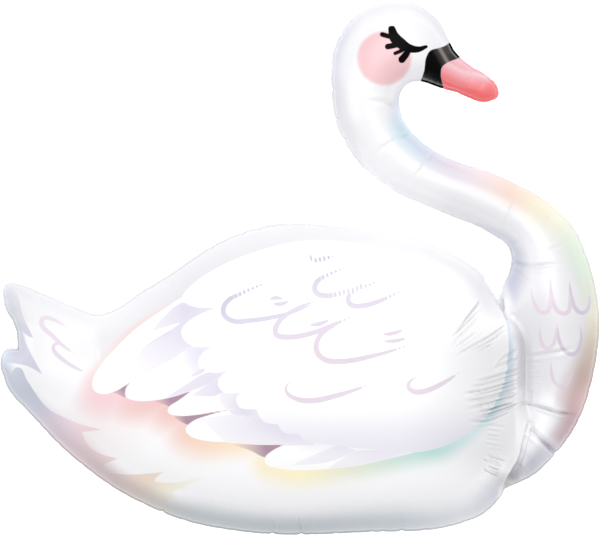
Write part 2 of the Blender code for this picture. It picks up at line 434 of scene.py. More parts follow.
def lean(points, seal_line, on_seal, closing):
    """The points near the inner weld, how far each leans over it where the two chambers press together, and
    how closely they are pressed there, from 0 to 1.
    """
    near = nearby(points, seal_line, LEAN_REACH)
    gap, share = to_line(points[near], seal_line)
    run = np.linspace(0, 1, len(seal_line))
    foot = np.column_stack([np.interp(share, run, seal_line[:, axis]) for axis in (0, 1)])
    edge = gap[on_seal[near]].max()
    apart = np.clip((gap - LEAN_START) / (LEAN_REACH - LEAN_START), 0, 1)
    outer = closing * np.minimum(LEAN_START / np.maximum(gap, LEAN_START), 1) * (1 - apart) ** 2
    inner = 1 - (1 - closing) * np.maximum(gap - edge, 0) / (LEAN_START - edge) * LEAN_START / gap
    closed = np.where(gap < LEAN_START, inner, outer)
    return near, (foot - points[near]) * closed[:, None], closed


def bridged(points, heights, seal_line, rim_gap):
    """The film's heights, with those below the place where the two chambers press together raised to it."""
    near = nearby(points, seal_line, BRIDGE_END)
    gap, share = to_line(points[near], seal_line)
    shoulder = near[(gap > SHOULDER_START) & (gap < BRIDGE_END)][::3]
    below = gap < BRIDGE_END
    near, share, gap = near[below], share[below], gap[below]
    apart = np.linalg.norm(points[near, None] - points[None, shoulder], axis=2)
    weight = np.exp(-((apart / SHOULDER_SPREAD) ** 2)) + 1e-9
    level = weight @ heights[shoulder] / weight.sum(axis=1)
    groove = GROOVE_DEPTH * eased(0.1, 0.5, share) * np.exp(-((gap / GROOVE_WIDTH) ** 2))
    bed = level * (TOUCH_LEVEL - groove)
    lifted = (heights[near] + bed + np.hypot(heights[near] - bed, BRIDGE_ROUNDING)) / 2
    fade = eased(BRIDGE_END, BRIDGE_FADE, gap) * eased(0, BRIDGE_RIM, rim_gap[near])
    raised = heights.copy()
    raised[near] = heights[near] + (lifted - heights[near]) * fade
    return raised


def flat_net(weld, seal, folds, field_step, fold_step):
    """A net between the welds: its points, its triangles, and their numbers on each weld's loop, or -1."""
    coarse = [weld[::DENSE], seal[::DENSE]]
    free = spread_points(*coarse, folds, field_step, fold_step)
    edges = []
    start = 0
    for line, closing_edges in [(loop, 1) for loop in coarse] + [(fold, 0) for fold in folds]:
        count = len(line)
        edges += [(start + i, start + (i + 1) % count) for i in range(count - 1 + closing_edges)]
        start += count
    flat = [Vector(point) for point in np.vstack(coarse + folds + [free])]
    places, _, triangles, origins, _, _ = delaunay_2d_cdt(flat, edges, [], 1, 1e-7)
    points = np.array([place[:] for place in places])
    triangles = np.array(triangles)
    triangles = triangles[~inside(points[triangles].mean(axis=1), coarse[1])]
    used, triangles = np.unique(triangles, return_inverse=True)
    first = np.array([min(found) if found else len(flat) for found in origins])[used]
    marks = []
    start = 0
    for loop in coarse:
        on_loop = (first >= start) & (first < start + len(loop))
        marks.append(np.where(on_loop, (first - start) * DENSE, -1))
        start += len(loop)
    return points[used], triangles.reshape(-1, 3), marks


@lru_cache
def film_plan(weld_width, seal_width, rim_step, field_step, fold_step, fullness, fold_depth, valley_depth):
    """A film's points laid flat, with the height that the filled film takes over each."""
    knots, seal_line, level = cad_lines()
    rim = rim_curve(knots, rim_step)
    weld = rim - outward(rim) * weld_width
    seal_line = smooth(respaced(seal_line, fold_step), steps=DENSE)
    seal = strip_loop(seal_line, seal_width)
    ends = ((seal_line[0], UPPER_FOLD), (seal_line[-1], LOWER_FOLD))
    routes = [np.vstack((end, np.array(fold) * MM)) for end, fold in ends]
    folds = [respaced(smooth(route), fold_step)[1:-1] for route in routes]
    folds = [fold[inside(fold, weld) & (rim_place(fold, weld)[0] > fold_step / 2)] for fold in folds]
    points, triangles, marks = flat_net(weld, seal, folds, field_step, fold_step)
    height = swell(points, triangles, np.max(marks, axis=0) >= 0, np.zeros(len(points)), FIRST_ROUNDS)
    for halving in range(HALVINGS):
        points, triangles, marks, pairs = halved(points, triangles, marks, (weld, seal), DENSE >> halving)
        guess = np.concatenate((height, height[pairs].mean(axis=1)))
        height = swell(points, triangles, np.max(marks, axis=0) >= 0, guess, LATER_ROUNDS)
    tube = np.sqrt(2 * height)
    height = tube / np.cbrt(1 + (tube / fullness) ** 3)
    gap = np.minimum(rim_place(points, weld)[0], rim_place(points, seal)[0])
    places = relaxed(np.column_stack((points, height)), triangles, gap > EVEN_GAP)
    points, height = places[:, :2], places[:, 2]
    for route in routes:
        near = nearby(points, route, 6 * FOLD_WIDTH)
        height[near] *= 1 - fold_depth * np.exp(-to_line(points[near], smooth(route))[0] / FOLD_WIDTH)
    near, sunk = along_seal(points, seal_line, VALLEY_WIDTH, (0.1, 0.45))
    height[near] *= 1 - valley_depth * sunk
    return Plan(points, triangles, rim, weld, seal_line, level, height, marks[1])


# ----- Creases and puckers, as a height over the smooth film -----

# A crease is a valley along a route of knots: its depth and half width are in millimetres, and it fades
# over the given shares of its length at its start and its end.
Crease = namedtuple("Crease", "route depth width fade_in fade_out", defaults=(0.25, 0.25))
# A crease gets painted shade where it is steeper than this, as its depth over its half width.
CREASE_START = 0.5
# Creases and puckers grow from nothing over these reaches in from the rim, which count the film's height too.
CREASE_RISE = 7 * MM
PUCKER_RISE = 9 * MM

CREASES = [Crease(*row) for row in (
    # Across the throat and the neck.
    ([(147, 243), (120, 247), (90, 246)], 2.6, 3.0, 0.02, 0.7),
    ([(163, 203), (140, 190), (113, 171)], 1.4, 2.0, 0.1, 0.4),
    ([(197, 173), (182, 150), (168, 132)], 1.4, 2.0, 0.1, 0.4),
    ([(141, 186), (120, 176), (96, 150)], 0.7, 4.0, 0.3, 0.4),
    ([(298, 50), (310, 80), (323, 111)], 1.1, 2.0, 0.1, 0.4),
    ([(309, 35), (318, 37), (329, 40)], 1.6, 2.0, 0.02, 0.6),
    ([(376, 82), (370, 74), (363, 67)], 1.0, 1.8, 0.3, 0.3),
    ([(393, 36), (378, 30), (361, 25)], 1.0, 2.0, 0.3, 0.3),
    ([(316, 7), (345, 2), (372, 5), (402, 5)], 3.4, 2.6, 0.01, 0.75),
    ([(323, -6), (334, -17), (348, -27)], 0.8, 1.8, 0.05, 0.6),
    # Across the breast.
    ([(333, -201), (350, -204), (366, -209), (385, -215), (413, -217)], 6.5, 1.9, 0.02, 0.3),
    ([(338, -134), (364, -128), (390, -123), (414, -116)], 2.0, 2.4, 0.1, 0.4),
    ([(337, -182), (347, -184), (360, -185)], 1.3, 2.2, 0.1, 0.6),
    ([(342, -240), (360, -257), (381, -276)], 7.0, 3.2, 0.02, 0.01),
    ([(306, -72), (314, -65), (330, -59)], 1.6, 2.4, 0.02, 0.7),
    ([(326, -290), (333, -300), (337, -310)], 1.4, 1.6, 0.2, 0.4),
    ([(321, -288), (327, -299), (331, -312)], 1.2, 1.6, 0.2, 0.4),
    # Round the pocket between the belly and the breast.
    ([(342, -229), (336, -242), (332, -256), (327, -278), (321, -294)], 7.5, 2.0, 0.15, 0.1),
    ([(328, -278), (321, -296), (311, -314), (306, -327)], 10.0, 3.6, 0.3, 0.01),
    # From the corner behind the neck to the inner weld, and down the front of the wing.
    ([(298, -42), (298, -54), (301, -65), (306, -76)], 9.0, 2.3, 0.1, 0.02),
    ([(330, -156), (331, -164), (333, -173)], 5.0, 2.4, 0.3, 0.3),
    ([(271, -44), (254, -66), (237, -88), (223, -108)], 5.0, 1.7, 0.15, 0.5),
    ([(266, -62), (248, -80), (222, -105)], 4.2, 1.3, 0.3, 0.4),
    ([(303, -89), (276, -104), (226, -133)], 4.0, 1.5, 0.1, 0.4),
    ([(301, -97), (275, -112), (243, -127)], 3.4, 1.4, 0.2, 0.4),
    ([(286, -112), (276, -117), (262, -125)], 4.0, 1.5, 0.2, 0.5),
    # Along the lower edge of the belly.
    ([(-36, -394), (-38, -380), (-41, -362)], 2.0, 2.0, 0.01, 0.7),
    ([(5, -394), (0, -380), (-2, -352)], 2.2, 1.8, 0.01, 0.7),
    ([(151, -390), (150, -370), (148, -345)], 1.6, 1.6, 0.05, 0.7),
    ([(-204, -362), (-204, -354), (-203, -346)], 1.6, 1.8, 0.02, 0.7),
    # Over the root of the tail and the back.
    ([(-302, -78), (-303, -100), (-300, -128), (-297, -150)], -0.9, 1.8, 0.2, 0.3),
    ([(-190, -12), (-178, -46), (-158, -95)], -0.9, 1.6, 0.1, 0.4),
    ([(-186, -12), (-172, -46), (-152, -88)], -0.6, 1.4, 0.1, 0.4),
)]

# A ruffle is a row of creases side by side: the first and last routes, the number of creases, and their
# depth and half width in millimetres.
Ruffle = namedtuple("Ruffle", "first last count depth width")
RUFFLES = [Ruffle(*row) for row in (
    # Beside the inner weld, where the body's film is drawn in.
    ([(322, -148), (302, -156), (276, -165), (236, -174)], [(322, -209), (300, -218), (276, -226),
        (246, -227)], 13, 5.4, 1.6),
    ([(318, -120), (304, -128), (286, -142)], [(318, -133), (306, -140), (286, -154)], 5, 4.0, 1.5),
    ([(270, -66), (248, -90), (222, -112)], [(268, -90), (246, -107), (222, -124)], 5, 2.4, 1.4),
    ([(304, -236), (288, -234), (270, -232)], [(302, -272), (286, -270), (270, -266)], 6, 1.3, 1.6),
    ([(304, -286), (286, -281), (264, -272)], [(303, -312), (287, -307), (268, -297)], 6, 3.2, 1.5),
    # On the back above the wing's front.
    ([(142, 24), (147, 8), (150, -10)], [(210, 8), (205, -8), (198, -26)], 13, 0.28, 1.8),
    ([(236, 0), (222, -18), (206, -38)], [(262, -22), (246, -42), (230, -60)], 7, 0.3, 2.0),
    # On the lower side of the belly, and on the tail beside the wing.
    ([(-184, -316), (-186, -336), (-188, -358)], [(-100, -332), (-100, -350), (-101, -372)], 13, 0.5, 2.0),
    ([(-236, -40), (-222, -60), (-214, -74)], [(-296, -92), (-280, -100), (-268, -112)], 12, 0.35, 2.2),
    # On the breast.
    ([(341, -140), (352, -141), (366, -141)], [(339, -176), (352, -178), (366, -178)], 8, 0.5, 1.6),
)]

# Places on the rim where it is drawn in the most, down the nape, over the back and under the belly.
NOTCHES = [
    (66, 344), (50, 299), (47, 266), (56, 222), (69, 192), (105, 148), (128, 124), (-85, 47), (-60, 56),
    (-16, 62), (45, 56), (72, 60), (102, 58), (143, 49), (174, 42), (210, 27), (254, 2), (272, -22),
    (-41, -394), (2, -394), (151, -390), (-204, -361), (379, -274),
]
NOTCH_DEPTH = 2.2
NOTCH_REACH = 20 * MM
# Between them, the least and greatest distance between puckers and how far in they reach, in millimetres,
# and how deep they are against the usual depth.
PUCKER_STEPS = (15, 38)
PUCKER_REACHES = (14, 46)
PUCKER_DEPTHS = (0.3, 1.0)
NOTCH_CLEARANCE = 9 * MM
# The round of puckers ends this far short of where it began.
LAST_CLEARANCE = 14 * MM
# A pucker's half width at the rim, and how much it grows with the reach in from it.
PUCKER_WIDTH = 2.6 * MM
PUCKER_SPREAD = 0.1
Pucker = namedtuple("Pucker", "places reaches depths slants")
# The rim's waves: how often each goes up and down round the rim.
WAVE_BEATS = range(7, 70, 4)
WAVE_REACH = 12 * MM


def trough(share):
    """A valley with a sharp bed and softly raised shoulders."""
    return np.exp(-np.abs(share) ** 1.2) - 0.3 * np.exp(-((np.abs(share) - 2.4) / 1.3) ** 2)


def crease_depth(points, crease):
    """How far one crease sinks the film, in millimetres, at each point near it."""
    route = smooth(crease.route, steps=6)
    near = nearby(points, route, 5 * crease.width)
    gap, share = to_line(points[near], route)
    fade = eased(0, crease.fade_in, share) * eased(0, crease.fade_out, 1 - share)
    return near, crease.depth * fade * trough(gap / crease.width)


def ruffle_creases(ruffle, random):
    """The single creases of a ruffle, each a little different."""
    first = smooth(ruffle.first, steps=4)
    last = smooth(ruffle.last, steps=4)
    creases = []
    for number in range(ruffle.count):
        share = (number + random.uniform(-0.2, 0.2)) / (ruffle.count - 1)
        route = first + (last - first) * share
        cut = random.integers(0, 3, 2)
        route = route[cut[0]: len(route) - cut[1]]
        depth = ruffle.depth * random.uniform(0.65, 1.2)
        creases.append(Crease(route, depth, ruffle.width * random.uniform(0.85, 1.15), 0.15, 0.3))
    return creases


def rim_puckers(length, notches, random):
    """Valleys that run in from the rim at its notches and at uneven places between, in metres along it."""
    places = list(notches)
    at = 0.0
    while at < length - LAST_CLEARANCE:
        if np.min(np.abs(notches - at)) > NOTCH_CLEARANCE:
            places.append(at)
        at += random.uniform(*PUCKER_STEPS) * MM
    count = len(places)
    reaches = random.uniform(*PUCKER_REACHES, count) * MM
    depths = random.uniform(*PUCKER_DEPTHS, count)
    reaches[: len(notches)] = NOTCH_REACH
    depths[: len(notches)] = NOTCH_DEPTH
    order = np.argsort(places)
    return Pucker(np.array(places)[order], reaches[order], depths[order], random.uniform(-0.3, 0.3, count))


def pucker_depth(run, reach, length, puckers):
    """How deep the puckers are at a run along the rim and a reach in from it, against their usual depth."""
    depth = np.zeros(len(run))
    after = np.searchsorted(puckers.places, run)
    for number in (after - 1, after):
        which = number % len(puckers.places)
        offset = run - puckers.places[which] - puckers.slants[which] * reach
        offset = (offset + length / 2) % length - length / 2
        width = PUCKER_WIDTH + PUCKER_SPREAD * reach
        fade = np.exp(-((reach / puckers.reaches[which]) ** 1.6))
        depth = np.maximum(depth, puckers.depths[which] * fade * np.exp(-np.abs(offset / width) ** 1.15))
    return depth


Rim = namedtuple("Rim", "line run length outward puckers waves")


@lru_cache
def welded_rim(plan_key):
    """The weld line round the films, with its puckers and its waves."""
    line = film_plan(*plan_key).weld
    lengths = np.linalg.norm(np.roll(line, -1, axis=0) - line, axis=1)
    random = np.random.default_rng(SEED)
    notches = rim_place(np.array(NOTCHES) * MM, line)[1]
    puckers = rim_puckers(lengths.sum(), notches, random)
    waves = [
        (beats, random.normal() / math.sqrt(beats), random.uniform(0, 2 * math.pi)) for beats in WAVE_BEATS
    ]
    return Rim(line, np.cumsum(lengths) - lengths, lengths.sum(), outward(line), puckers, waves)


def rim_move(rim, run, drawn_in, wave):
    """How far the weld is moved from its flat outline: drawn in at its puckers, and up and down in waves."""
    turn = 2 * np.pi * run / rim.length
    side = [np.interp(run, rim.run, rim.outward[:, axis], period=rim.length) for axis in (0, 1)]
    pull = drawn_in * pucker_depth(run, np.full(len(run), 1 * MM), rim.length, rim.puckers)
    lift = wave * sum(height * np.sin(beats * turn + phase) for beats, height, phase in rim.waves)
    return np.column_stack((-side[0] * pull, -side[1] * pull, lift))


def vertex_normals(places, triangles):
    """The normal at each point, from the triangles about it."""
    corners = places[triangles]
    face = np.cross(corners[:, 1] - corners[:, 0], corners[:, 2] - corners[:, 0])
    ends = triangles.ravel()
    return unit(np.column_stack([np.bincount(ends, np.repeat(part, 3), len(places)) for part in face.T]))


def film_places(plan_key, folds, side, gap):
    """The points of the upper film, side 1, or the lower film, side -1, with every fold in them.

    Gives their places, their places on the print, their distances from the rim weld and shares of the way
    along it, and how steep the creases are there.
    """
    plan = film_plan(*plan_key)
    rim = welded_rim(plan_key)
    rim_gap, run = rim_place(plan.points, rim.line)
    reach = np.hypot(rim_gap, plan.heights)
    sink = folds.pucker_depth * eased(0, PUCKER_RISE, reach)
    sink *= pucker_depth(run, reach, rim.length, rim.puckers)
    random = np.random.default_rng(SEED + side)
    creases = list(CREASES)
    for ruffle in RUFFLES:
        creases += ruffle_creases(ruffle, random)
    # How steep the creases are, which sets the painted shade in their beds.
    bed = np.zeros(len(plan.points))
    for crease in creases:
        near, depth = crease_depth(plan.points / MM, crease)
        sink[near] += folds.crease_depth * MM * depth * eased(0, CREASE_RISE, reach[near])
        bed[near] = np.maximum(bed[near], depth / crease.width - CREASE_START)
    smooth_film = np.column_stack((plan.points, bridged(plan.points, plan.heights, plan.seal_line, rim_gap)))
    near, leaning, closed = lean(plan.points, plan.seal_line, plan.seal_place >= 0, folds.closing)
    smooth_film[near, :2] += leaning
    sink[near] *= 1 - closed
    places = smooth_film - vertex_normals(smooth_film, plan.triangles) * sink[:, None]
    places[:, 2] = plan.level + side * (np.maximum(places[:, 2], 0) + gap / 2)
    fade = np.exp(-((reach / WAVE_REACH) ** 2))
    places += rim_move(rim, run, folds.drawn_in, folds.wave) * fade[:, None]
    places[:, 2] = np.maximum(places[:, 2], 0)
    return places, smooth_film[:, :2], rim_gap, run / rim.length, bed


# ----- The print, as distances from the edges of its shapes; knots in millimetres -----

# The upper part of the wing: its smooth edge from the lowest lobe round to the root, then a cusp and a
# bulge for each lobe.
WING_EDGE = [
    (15, -258), (124, -269), (188, -270), (255, -239), (294, -191), (308, -134), (303, -75), (272, -28),
    (189, 15), (109, 33), (16, 41), (-59, 26), (-128, -3), (-165, -30),
]
WING_LOBES = [
    ((-175, -43), [(-171, -50), (-158, -57)]),
    ((-123, -58), [(-158, -74), (-174, -89), (-175, -99), (-166, -111), (-149, -117)]),
    ((-126, -115), [(-143, -125), (-149, -137), (-141, -149), (-125, -155)]),
    ((-101, -149), [(-116, -159), (-121, -172), (-113, -183), (-98, -185)]),
    ((-81, -181), [(-94, -193), (-87, -206)]),
    ((-64, -209), [(-61, -218), (-51, -228)]),
    ((-33, -231), [(-27, -240), (-17, -245)]),
    ((-2, -245), [(5, -254)]),
]
# A shape of the print: its outline, its corners by number, and the root where its tone is full, which holds
# over a share of the given reach and then fades.
Shape = namedtuple("Shape", "outline corners root reach hold", defaults=((), None, 1, 0))
# The long feathers, from the top of the wing down, each running out from under the lobes.
LONG_FEATHERS = [
    Shape([(-175, -44), (-205, -63), (-242, -89), (-273, -119), (-296, -146), (-307, -169), (-305, -180),
        (-296, -186), (-273, -182), (-250, -168), (-203, -138), (-158, -110), (-118, -78), (-108, -48)],
        (0, 12)),
    Shape([(-250, -168), (-258, -180), (-257, -190), (-248, -195), (-221, -196), (-190, -191), (-158, -180),
        (-126, -165), (-93, -148), (-108, -113), (-178, -123)], (0, 8)),
    Shape([(-158, -180), (-180, -196), (-194, -206), (-195, -213), (-183, -218), (-153, -217), (-123, -212),
        (-97, -208), (-58, -203), (-58, -168), (-98, -148)], (0, 8)),
    Shape([(-97, -208), (-137, -218), (-161, -228), (-169, -238), (-164, -247), (-147, -254), (-101, -258),
        (-66, -261), (-21, -261), (22, -260), (2, -213), (-48, -188)], (0, 9)),
    Shape([(-23, -261), (-41, -270), (-52, -281), (-50, -290), (-32, -296), (5, -299), (50, -296), (85, -292),
        (125, -283), (175, -271), (100, -248), (20, -250)], (0, 9)),
    # Their roots, under the lobes.
    Shape([(-175, -44), (-213, -83), (-238, -148), (-183, -176), (-156, -174), (-108, -202), (-88, -209),
        (-68, -253), (-18, -256), (62, -260), (102, -238), (2, -58)]),
]
# Dark gaps between the tips of the long feathers.
FEATHER_GAPS = [
    Shape([(-250, -166), (-262, -174), (-286, -181), (-268, -187), (-258, -191)], (0, 2), (-253, -171),
        32, 0.4),
    Shape([(-154, -176), (-178, -187), (-226, -194), (-205, -200), (-186, -205)], (0, 2), (-158, -180),
        62, 0.6),
    Shape([(-91, -205), (-128, -212), (-188, -219), (-172, -229), (-162, -232)], (0, 2), (-108, -208),
        84, 0.75),
    Shape([(-19, -259), (-60, -260), (-108, -259), (-75, -269), (-46, -280)], (0, 2), (-30, -262), 72, 0.3),
]
# Lilac wedges where the feathers overlap.
LILAC_WEDGES = [
    Shape([(-220, -94), (-201, -72), (-175, -52), (-166, -53), (-158, -57), (-125, -59), (-140, -67),
        (-156, -76), (-186, -83)], (0, 5), (-165, -60), 120),
    Shape([(-232, -118), (-198, -96), (-161, -75), (-138, -74), (-148, -104), (-161, -116), (-250, -169),
        (-260, -154)], (0, 3, 6, 7), (-166, -95), 134),
    Shape([(-231, -116), (-199, -96), (-165, -77), (-175, -94), (-189, -102), (-211, -108)], (0, 2),
        (-170, -85), 260),
    Shape([(-167, -117), (-128, -116), (-142, -125), (-150, -137), (-148, -151), (-162, -155), (-173, -137)],
        (0, 1, 4), (-146, -122), 56),
    Shape([(-201, -193), (-168, -172), (-141, -156), (-98, -150), (-118, -161), (-158, -181)], (0, 3),
        (-130, -165), 200),
    Shape([(-167, -163), (-147, -150), (-139, -148), (-145, -155)], (0, 2), (-140, -150), 120),
    Shape([(-161, -189), (-128, -167), (-110, -161), (-116, -184)], (0, 2), (-115, -175), 120),
    Shape([(-118, -186), (-84, -186), (-92, -203), (-62, -208), (-66, -226), (-93, -220)], (1, 3),
        (-80, -208), 62),
    Shape([(-148, -222), (-108, -217), (-58, -209), (22, -238), (18, -262), (-66, -262), (-111, -257)],
        (0, 3, 4, 6), (-20, -250), 160),
    Shape([(-102, -256), (-73, -248), (-43, -236), (2, -234), (22, -262), (-66, -261)], (0, 3, 4), (0, -255),
        190),
    Shape([(-14, -292), (19, -277), (59, -260), (83, -270), (44, -286)], (0, 2, 3), (60, -268), 200),
    Shape([(39, -297), (65, -280), (81, -270), (179, -266), (124, -283), (59, -297)], (0, 2, 3), (110, -280),
        200),
]
# Lilac darts at the edge of the tail, closed outside the rim.
TAIL_DARTS = [
    Shape([(-450, -10), (-421, -37), (-411, -70), (-394, -106), (-407, -98), (-414, -92), (-402, -120),
        (-381, -158), (-402, -146), (-419, -142), (-450, -138)], (0, 3, 5, 7, 10), (-420, -120), 220),
]
# The pastel band along the belly, whose upper edge is cut like feathers, closed outside the rim.
BELLY_BAND = [
    Shape([(-470, -160), (-432, -160), (-417, -147), (-404, -167), (-373, -208), (-350, -221), (-325, -231),
        (-293, -239), (-323, -243), (-314, -262), (-298, -274), (-269, -282), (-290, -290), (-292, -298),
        (-265, -305), (-235, -305), (-199, -301), (-212, -309), (-216, -316), (-191, -318), (-160, -313),
        (-136, -307), (-168, -322), (-191, -333), (-185, -339), (-196, -344), (-203, -354), (-206, -380),
        (-330, -450), (-500, -300)], (0, 1, 7, 8, 11, 12, 16, 18, 21, 23, 24, 26, 27, 28)),
]

# Brush strokes: knots, the greatest half width, a hue from 0 for lilac to 1 for pink, how pale the ink is,
# and the shares of the length over which the brush runs dry at the start and at the end.
Stroke = namedtuple("Stroke", "knots width hue pale dry", defaults=(0, (0.01, 0.15)))
STROKES = [Stroke(*row) for row in (
    ([(50, 18), (32, 13), (19, 12), (16, 17), (20, 21)], 3.2, 0.25, 0, (1, 1)),
    ([(-44, -19), (-85, -37), (-109, -51), (-113, -67), (-100, -78), (-77, -78), (-17, -67), (29, -49)],
        3.8, 0.1, 0, (0.3, 0.1)),
    ([(25, -47), (-9, -62), (-35, -86), (-35, -98), (-17, -102), (15, -97), (55, -81), (90, -66)],
        4.1, 0.8, 0, (0.01, 0.2)),
    ([(80, -70), (52, -84), (29, -101), (24, -120), (34, -134), (58, -138), (107, -130), (168, -112)],
        4.1, 1.0, 0),
    ([(66, 0), (42, -10), (24, -22), (23, -35), (38, -41), (64, -36), (94, -28), (119, -18)],
        4.0, 0.5, 0, (0.3, 0.6)),
    ([(97, -20), (81, -32), (71, -46), (75, -54), (91, -56), (117, -49), (153, -32)],
        3.9, 0.6, 0, (0.3, 0.3)),
    ([(-10, -168), (-20, -174), (-20, -183), (-6, -193), (16, -196), (52, -189), (107, -171)],
        4.0, 1.0, 0.18),
    ([(175, -160), (164, -166), (160, -175), (167, -182), (179, -183), (206, -173), (238, -153)],
        3.8, 1.0, 0.32),
    # Specks over the wing.
    ([(-46, -47), (-36, -44), (-24, -46)], 2.8, 0.5),
    ([(-41, -53), (-27, -53), (-15, -48)], 3.0, 0.5),
    ([(13, -84), (27, -83), (45, -76)], 3.2, 0.6),
    ([(121, -98), (135, -97), (154, -91)], 3.0, 1.0),
    ([(122, -108), (138, -108), (159, -103)], 3.0, 1.0),
    # On the tail.
    ([(-346, -87), (-366, -76), (-381, -75), (-383, -83), (-368, -99), (-348, -117), (-330, -129)],
        3.4, 0.7, 0.4),
    ([(-352, -114), (-363, -113), (-365, -120), (-353, -134), (-335, -146), (-316, -155)], 3.2, 0.3, 0.3),
    # Scallops down the breast.
    ([(342, -29), (346, -49), (356, -65), (366, -65), (371, -49), (370, -13)], 3.0, 1.0, 0.66),
    ([(371, -12), (374, -48), (385, -66), (396, -66), (400, -48), (400, -16)], 3.2, 1.0, 0.5),
    ([(399, -16), (403, -46), (412, -64), (422, -66), (429, -52), (427, -30)], 3.0, 0.2, 0.32),
    ([(355, -85), (357, -107), (364, -119), (372, -117), (378, -105), (380, -81)], 2.9, 1.0, 0.62),
    ([(381, -81), (384, -107), (395, -125), (407, -127), (416, -111), (415, -81)], 3.0, 0.5, 0.3),
    ([(372, -139), (373, -157), (381, -173), (392, -175), (401, -161), (405, -141)], 2.8, 1.0, 0.5),
)]
# A brush that runs dry leaves dashes this far apart.
DASH = 6.7 * MM
# A stroke's half width along it, as shares of its greatest.
STROKE_SWELL = (0.1, 0.7, 1.0, 1.0, 0.9, 0.6, 0.1)
# The closed eye: the lid's line and its lashes, with half widths along them.
EYE_LINES = [
    ([(136, 354), (140, 342), (149, 333), (161, 326), (175, 324), (187, 328)],
     [5.5, 8.2, 8.4, 6.4, 4.6, 2.4]),
    ([(122, 346), (132, 343), (142, 340)], [3.8, 3.6, 2.5]),
    ([(130, 328), (140, 330), (152, 334)], [4.4, 4.4, 3.0]),
    ([(141, 318), (150, 322), (160, 328)], [2.8, 3.0, 2.6]),
    ([(151, 309), (156, 315), (163, 325)], [5.4, 5.0, 3.2]),
]
BEAK_MASK = [
    Shape([(223, 335), (214, 329), (205, 326), (193, 322), (187, 312), (184, 292), (177, 272), (196, 255),
        (215, 262), (211, 275), (209, 287), (211, 298), (220, 305), (235, 311), (250, 325)],
        (0, 6, 7, 8, 13, 14)),
]
BILL = [
    Shape([(215, 262), (211, 275), (209, 287), (211, 298), (220, 305), (235, 311), (260, 320), (320, 280),
        (310, 235), (240, 235)], (0, 5)),
]
BLUSH = (125, 311)
BLUSH_RADIUS = 40
# The painted shade beside the inner weld: how wide it is, and how far it lies from the weld, in millimetres.
SEAM_SHADE = 10 * MM
SHADE_SHIFT = (-4, 0)
WING_TOP = Shape(
    WING_EDGE + [knot for cusp, bulge in WING_LOBES for knot in [cusp] + bulge],
    [0] + [len(WING_EDGE) + number for number in (0, 3, 9, 14, 19, 22, 25, 28)],
)
# Distances from the shapes are worked out as far as the print reads them.
WING_REACH = 45 * MM
GAP_REACH = 12 * MM
MARK_REACH = 8 * MM
STROKE_REACH = 6 * MM
# A band of colour: the place that each colour belongs to, the colour in display values, and the band's
# width there in millimetres.  No band is wider than BAND_LIMIT.
BAND_LIMIT = 70 * MM
# The pastel print down the throat and breast; its greys at the throat and its darker browns and greys low on
# the breast are partly painted shade.
FRONT_BAND = [
    ((146, 252), (227, 228, 236), 14), ((141, 243), (224, 229, 244), 14), ((155, 211), (203, 232, 246), 36),
    ((186, 177), (215, 229, 243), 40), ((216, 160), (235, 232, 245), 42), ((246, 145), (246, 236, 246), 42),
    ((275, 133), (254, 234, 235), 46), ((312, 115), (255, 227, 210), 52), ((349, 93), (255, 244, 220), 62),
    ((379, 71), (252, 250, 228), 56), ((401, 41), (237, 247, 230), 50), ((424, -4), (226, 241, 224), 40),
    ((433, -50), (230, 233, 212), 30), ((437, -66), (242, 236, 216), 26), ((441, -115), (213, 198, 180), 34),
    ((434, -160), (202, 175, 163), 48), ((421, -197), (226, 191, 191), 64),
    ((409, -226), (192, 160, 166), 38), ((390, -256), (188, 163, 170), 36),
    ((380, -273), (210, 206, 220), 38), ((357, -301), (190, 192, 204), 48),
    ((312, -326), (196, 194, 197), 24), ((290, -338), (240, 240, 244), 0), ((160, 300), (240, 240, 244), 0),
]
# Print along the tail, the back and the nape, with painted shade in its greys at the tail's edge, over the
# back and down the nape.
REAR_BAND = [
    ((-439, -137), (204, 220, 235), 22), ((-436, -112), (206, 216, 230), 18),
    ((-424, -116), (190, 192, 205), 16), ((-417, -90), (194, 197, 210), 12),
    ((-429, -66), (178, 185, 195), 18), ((-440, -44), (196, 203, 214), 16),
    ((-436, -26), (214, 220, 231), 20), ((-415, -28), (224, 222, 231), 20),
    ((-355, -53), (227, 225, 230), 24), ((-296, -69), (231, 229, 231), 28),
    ((-250, -45), (230, 229, 231), 20), ((-128, 24), (228, 228, 230), 12), ((238, 15), (232, 232, 243), 0),
    ((290, -44), (225, 225, 240), 14), ((298, -41), (212, 213, 236), 34), ((304, -32), (218, 219, 240), 42),
    ((317, 8), (208, 211, 224), 30), ((305, 42), (227, 229, 239), 16), ((238, 63), (236, 236, 242), 0),
    ((105, 148), (232, 232, 236), 0), ((70, 195), (226, 226, 230), 26), ((50, 249), (211, 211, 217), 26),
    ((47, 293), (215, 215, 227), 22), ((54, 338), (211, 211, 222), 22), ((90, 379), (228, 227, 231), 22),
    ((149, 392), (230, 230, 234), 20), ((201, 375), (228, 227, 234), 16), ((223, 338), (230, 229, 238), 8),
    ((316, -324), (244, 244, 250), 0), ((-434, -160), (188, 192, 204), 26),
]
# The belly band's hues along the lower rim, darkened by painted shade, and the painted shade of the greys
# under the belly.
LOWER_BAND = [
    ((-440, -130), (188, 192, 204), 0), ((-418, -176), (184, 189, 202), 26),
    ((-385, -209), (184, 187, 202), 36), ((-355, -244), (183, 175, 191), 42),
    ((-318, -283), (185, 166, 174), 42), ((-281, -312), (180, 160, 163), 38),
    ((-237, -341), (180, 167, 162), 38), ((-200, -358), (172, 172, 170), 38),
    ((-150, -376), (166, 176, 181), 46), ((5, -394), (166, 174, 180), 46), ((150, -389), (180, 189, 196), 50),
    ((240, -360), (214, 216, 222), 46), ((298, -333), (196, 199, 208), 48),
    ((314, -325), (196, 194, 197), 30), ((330, -310), (196, 194, 197), 0), ((0, 60), (214, 216, 226), 0),
]
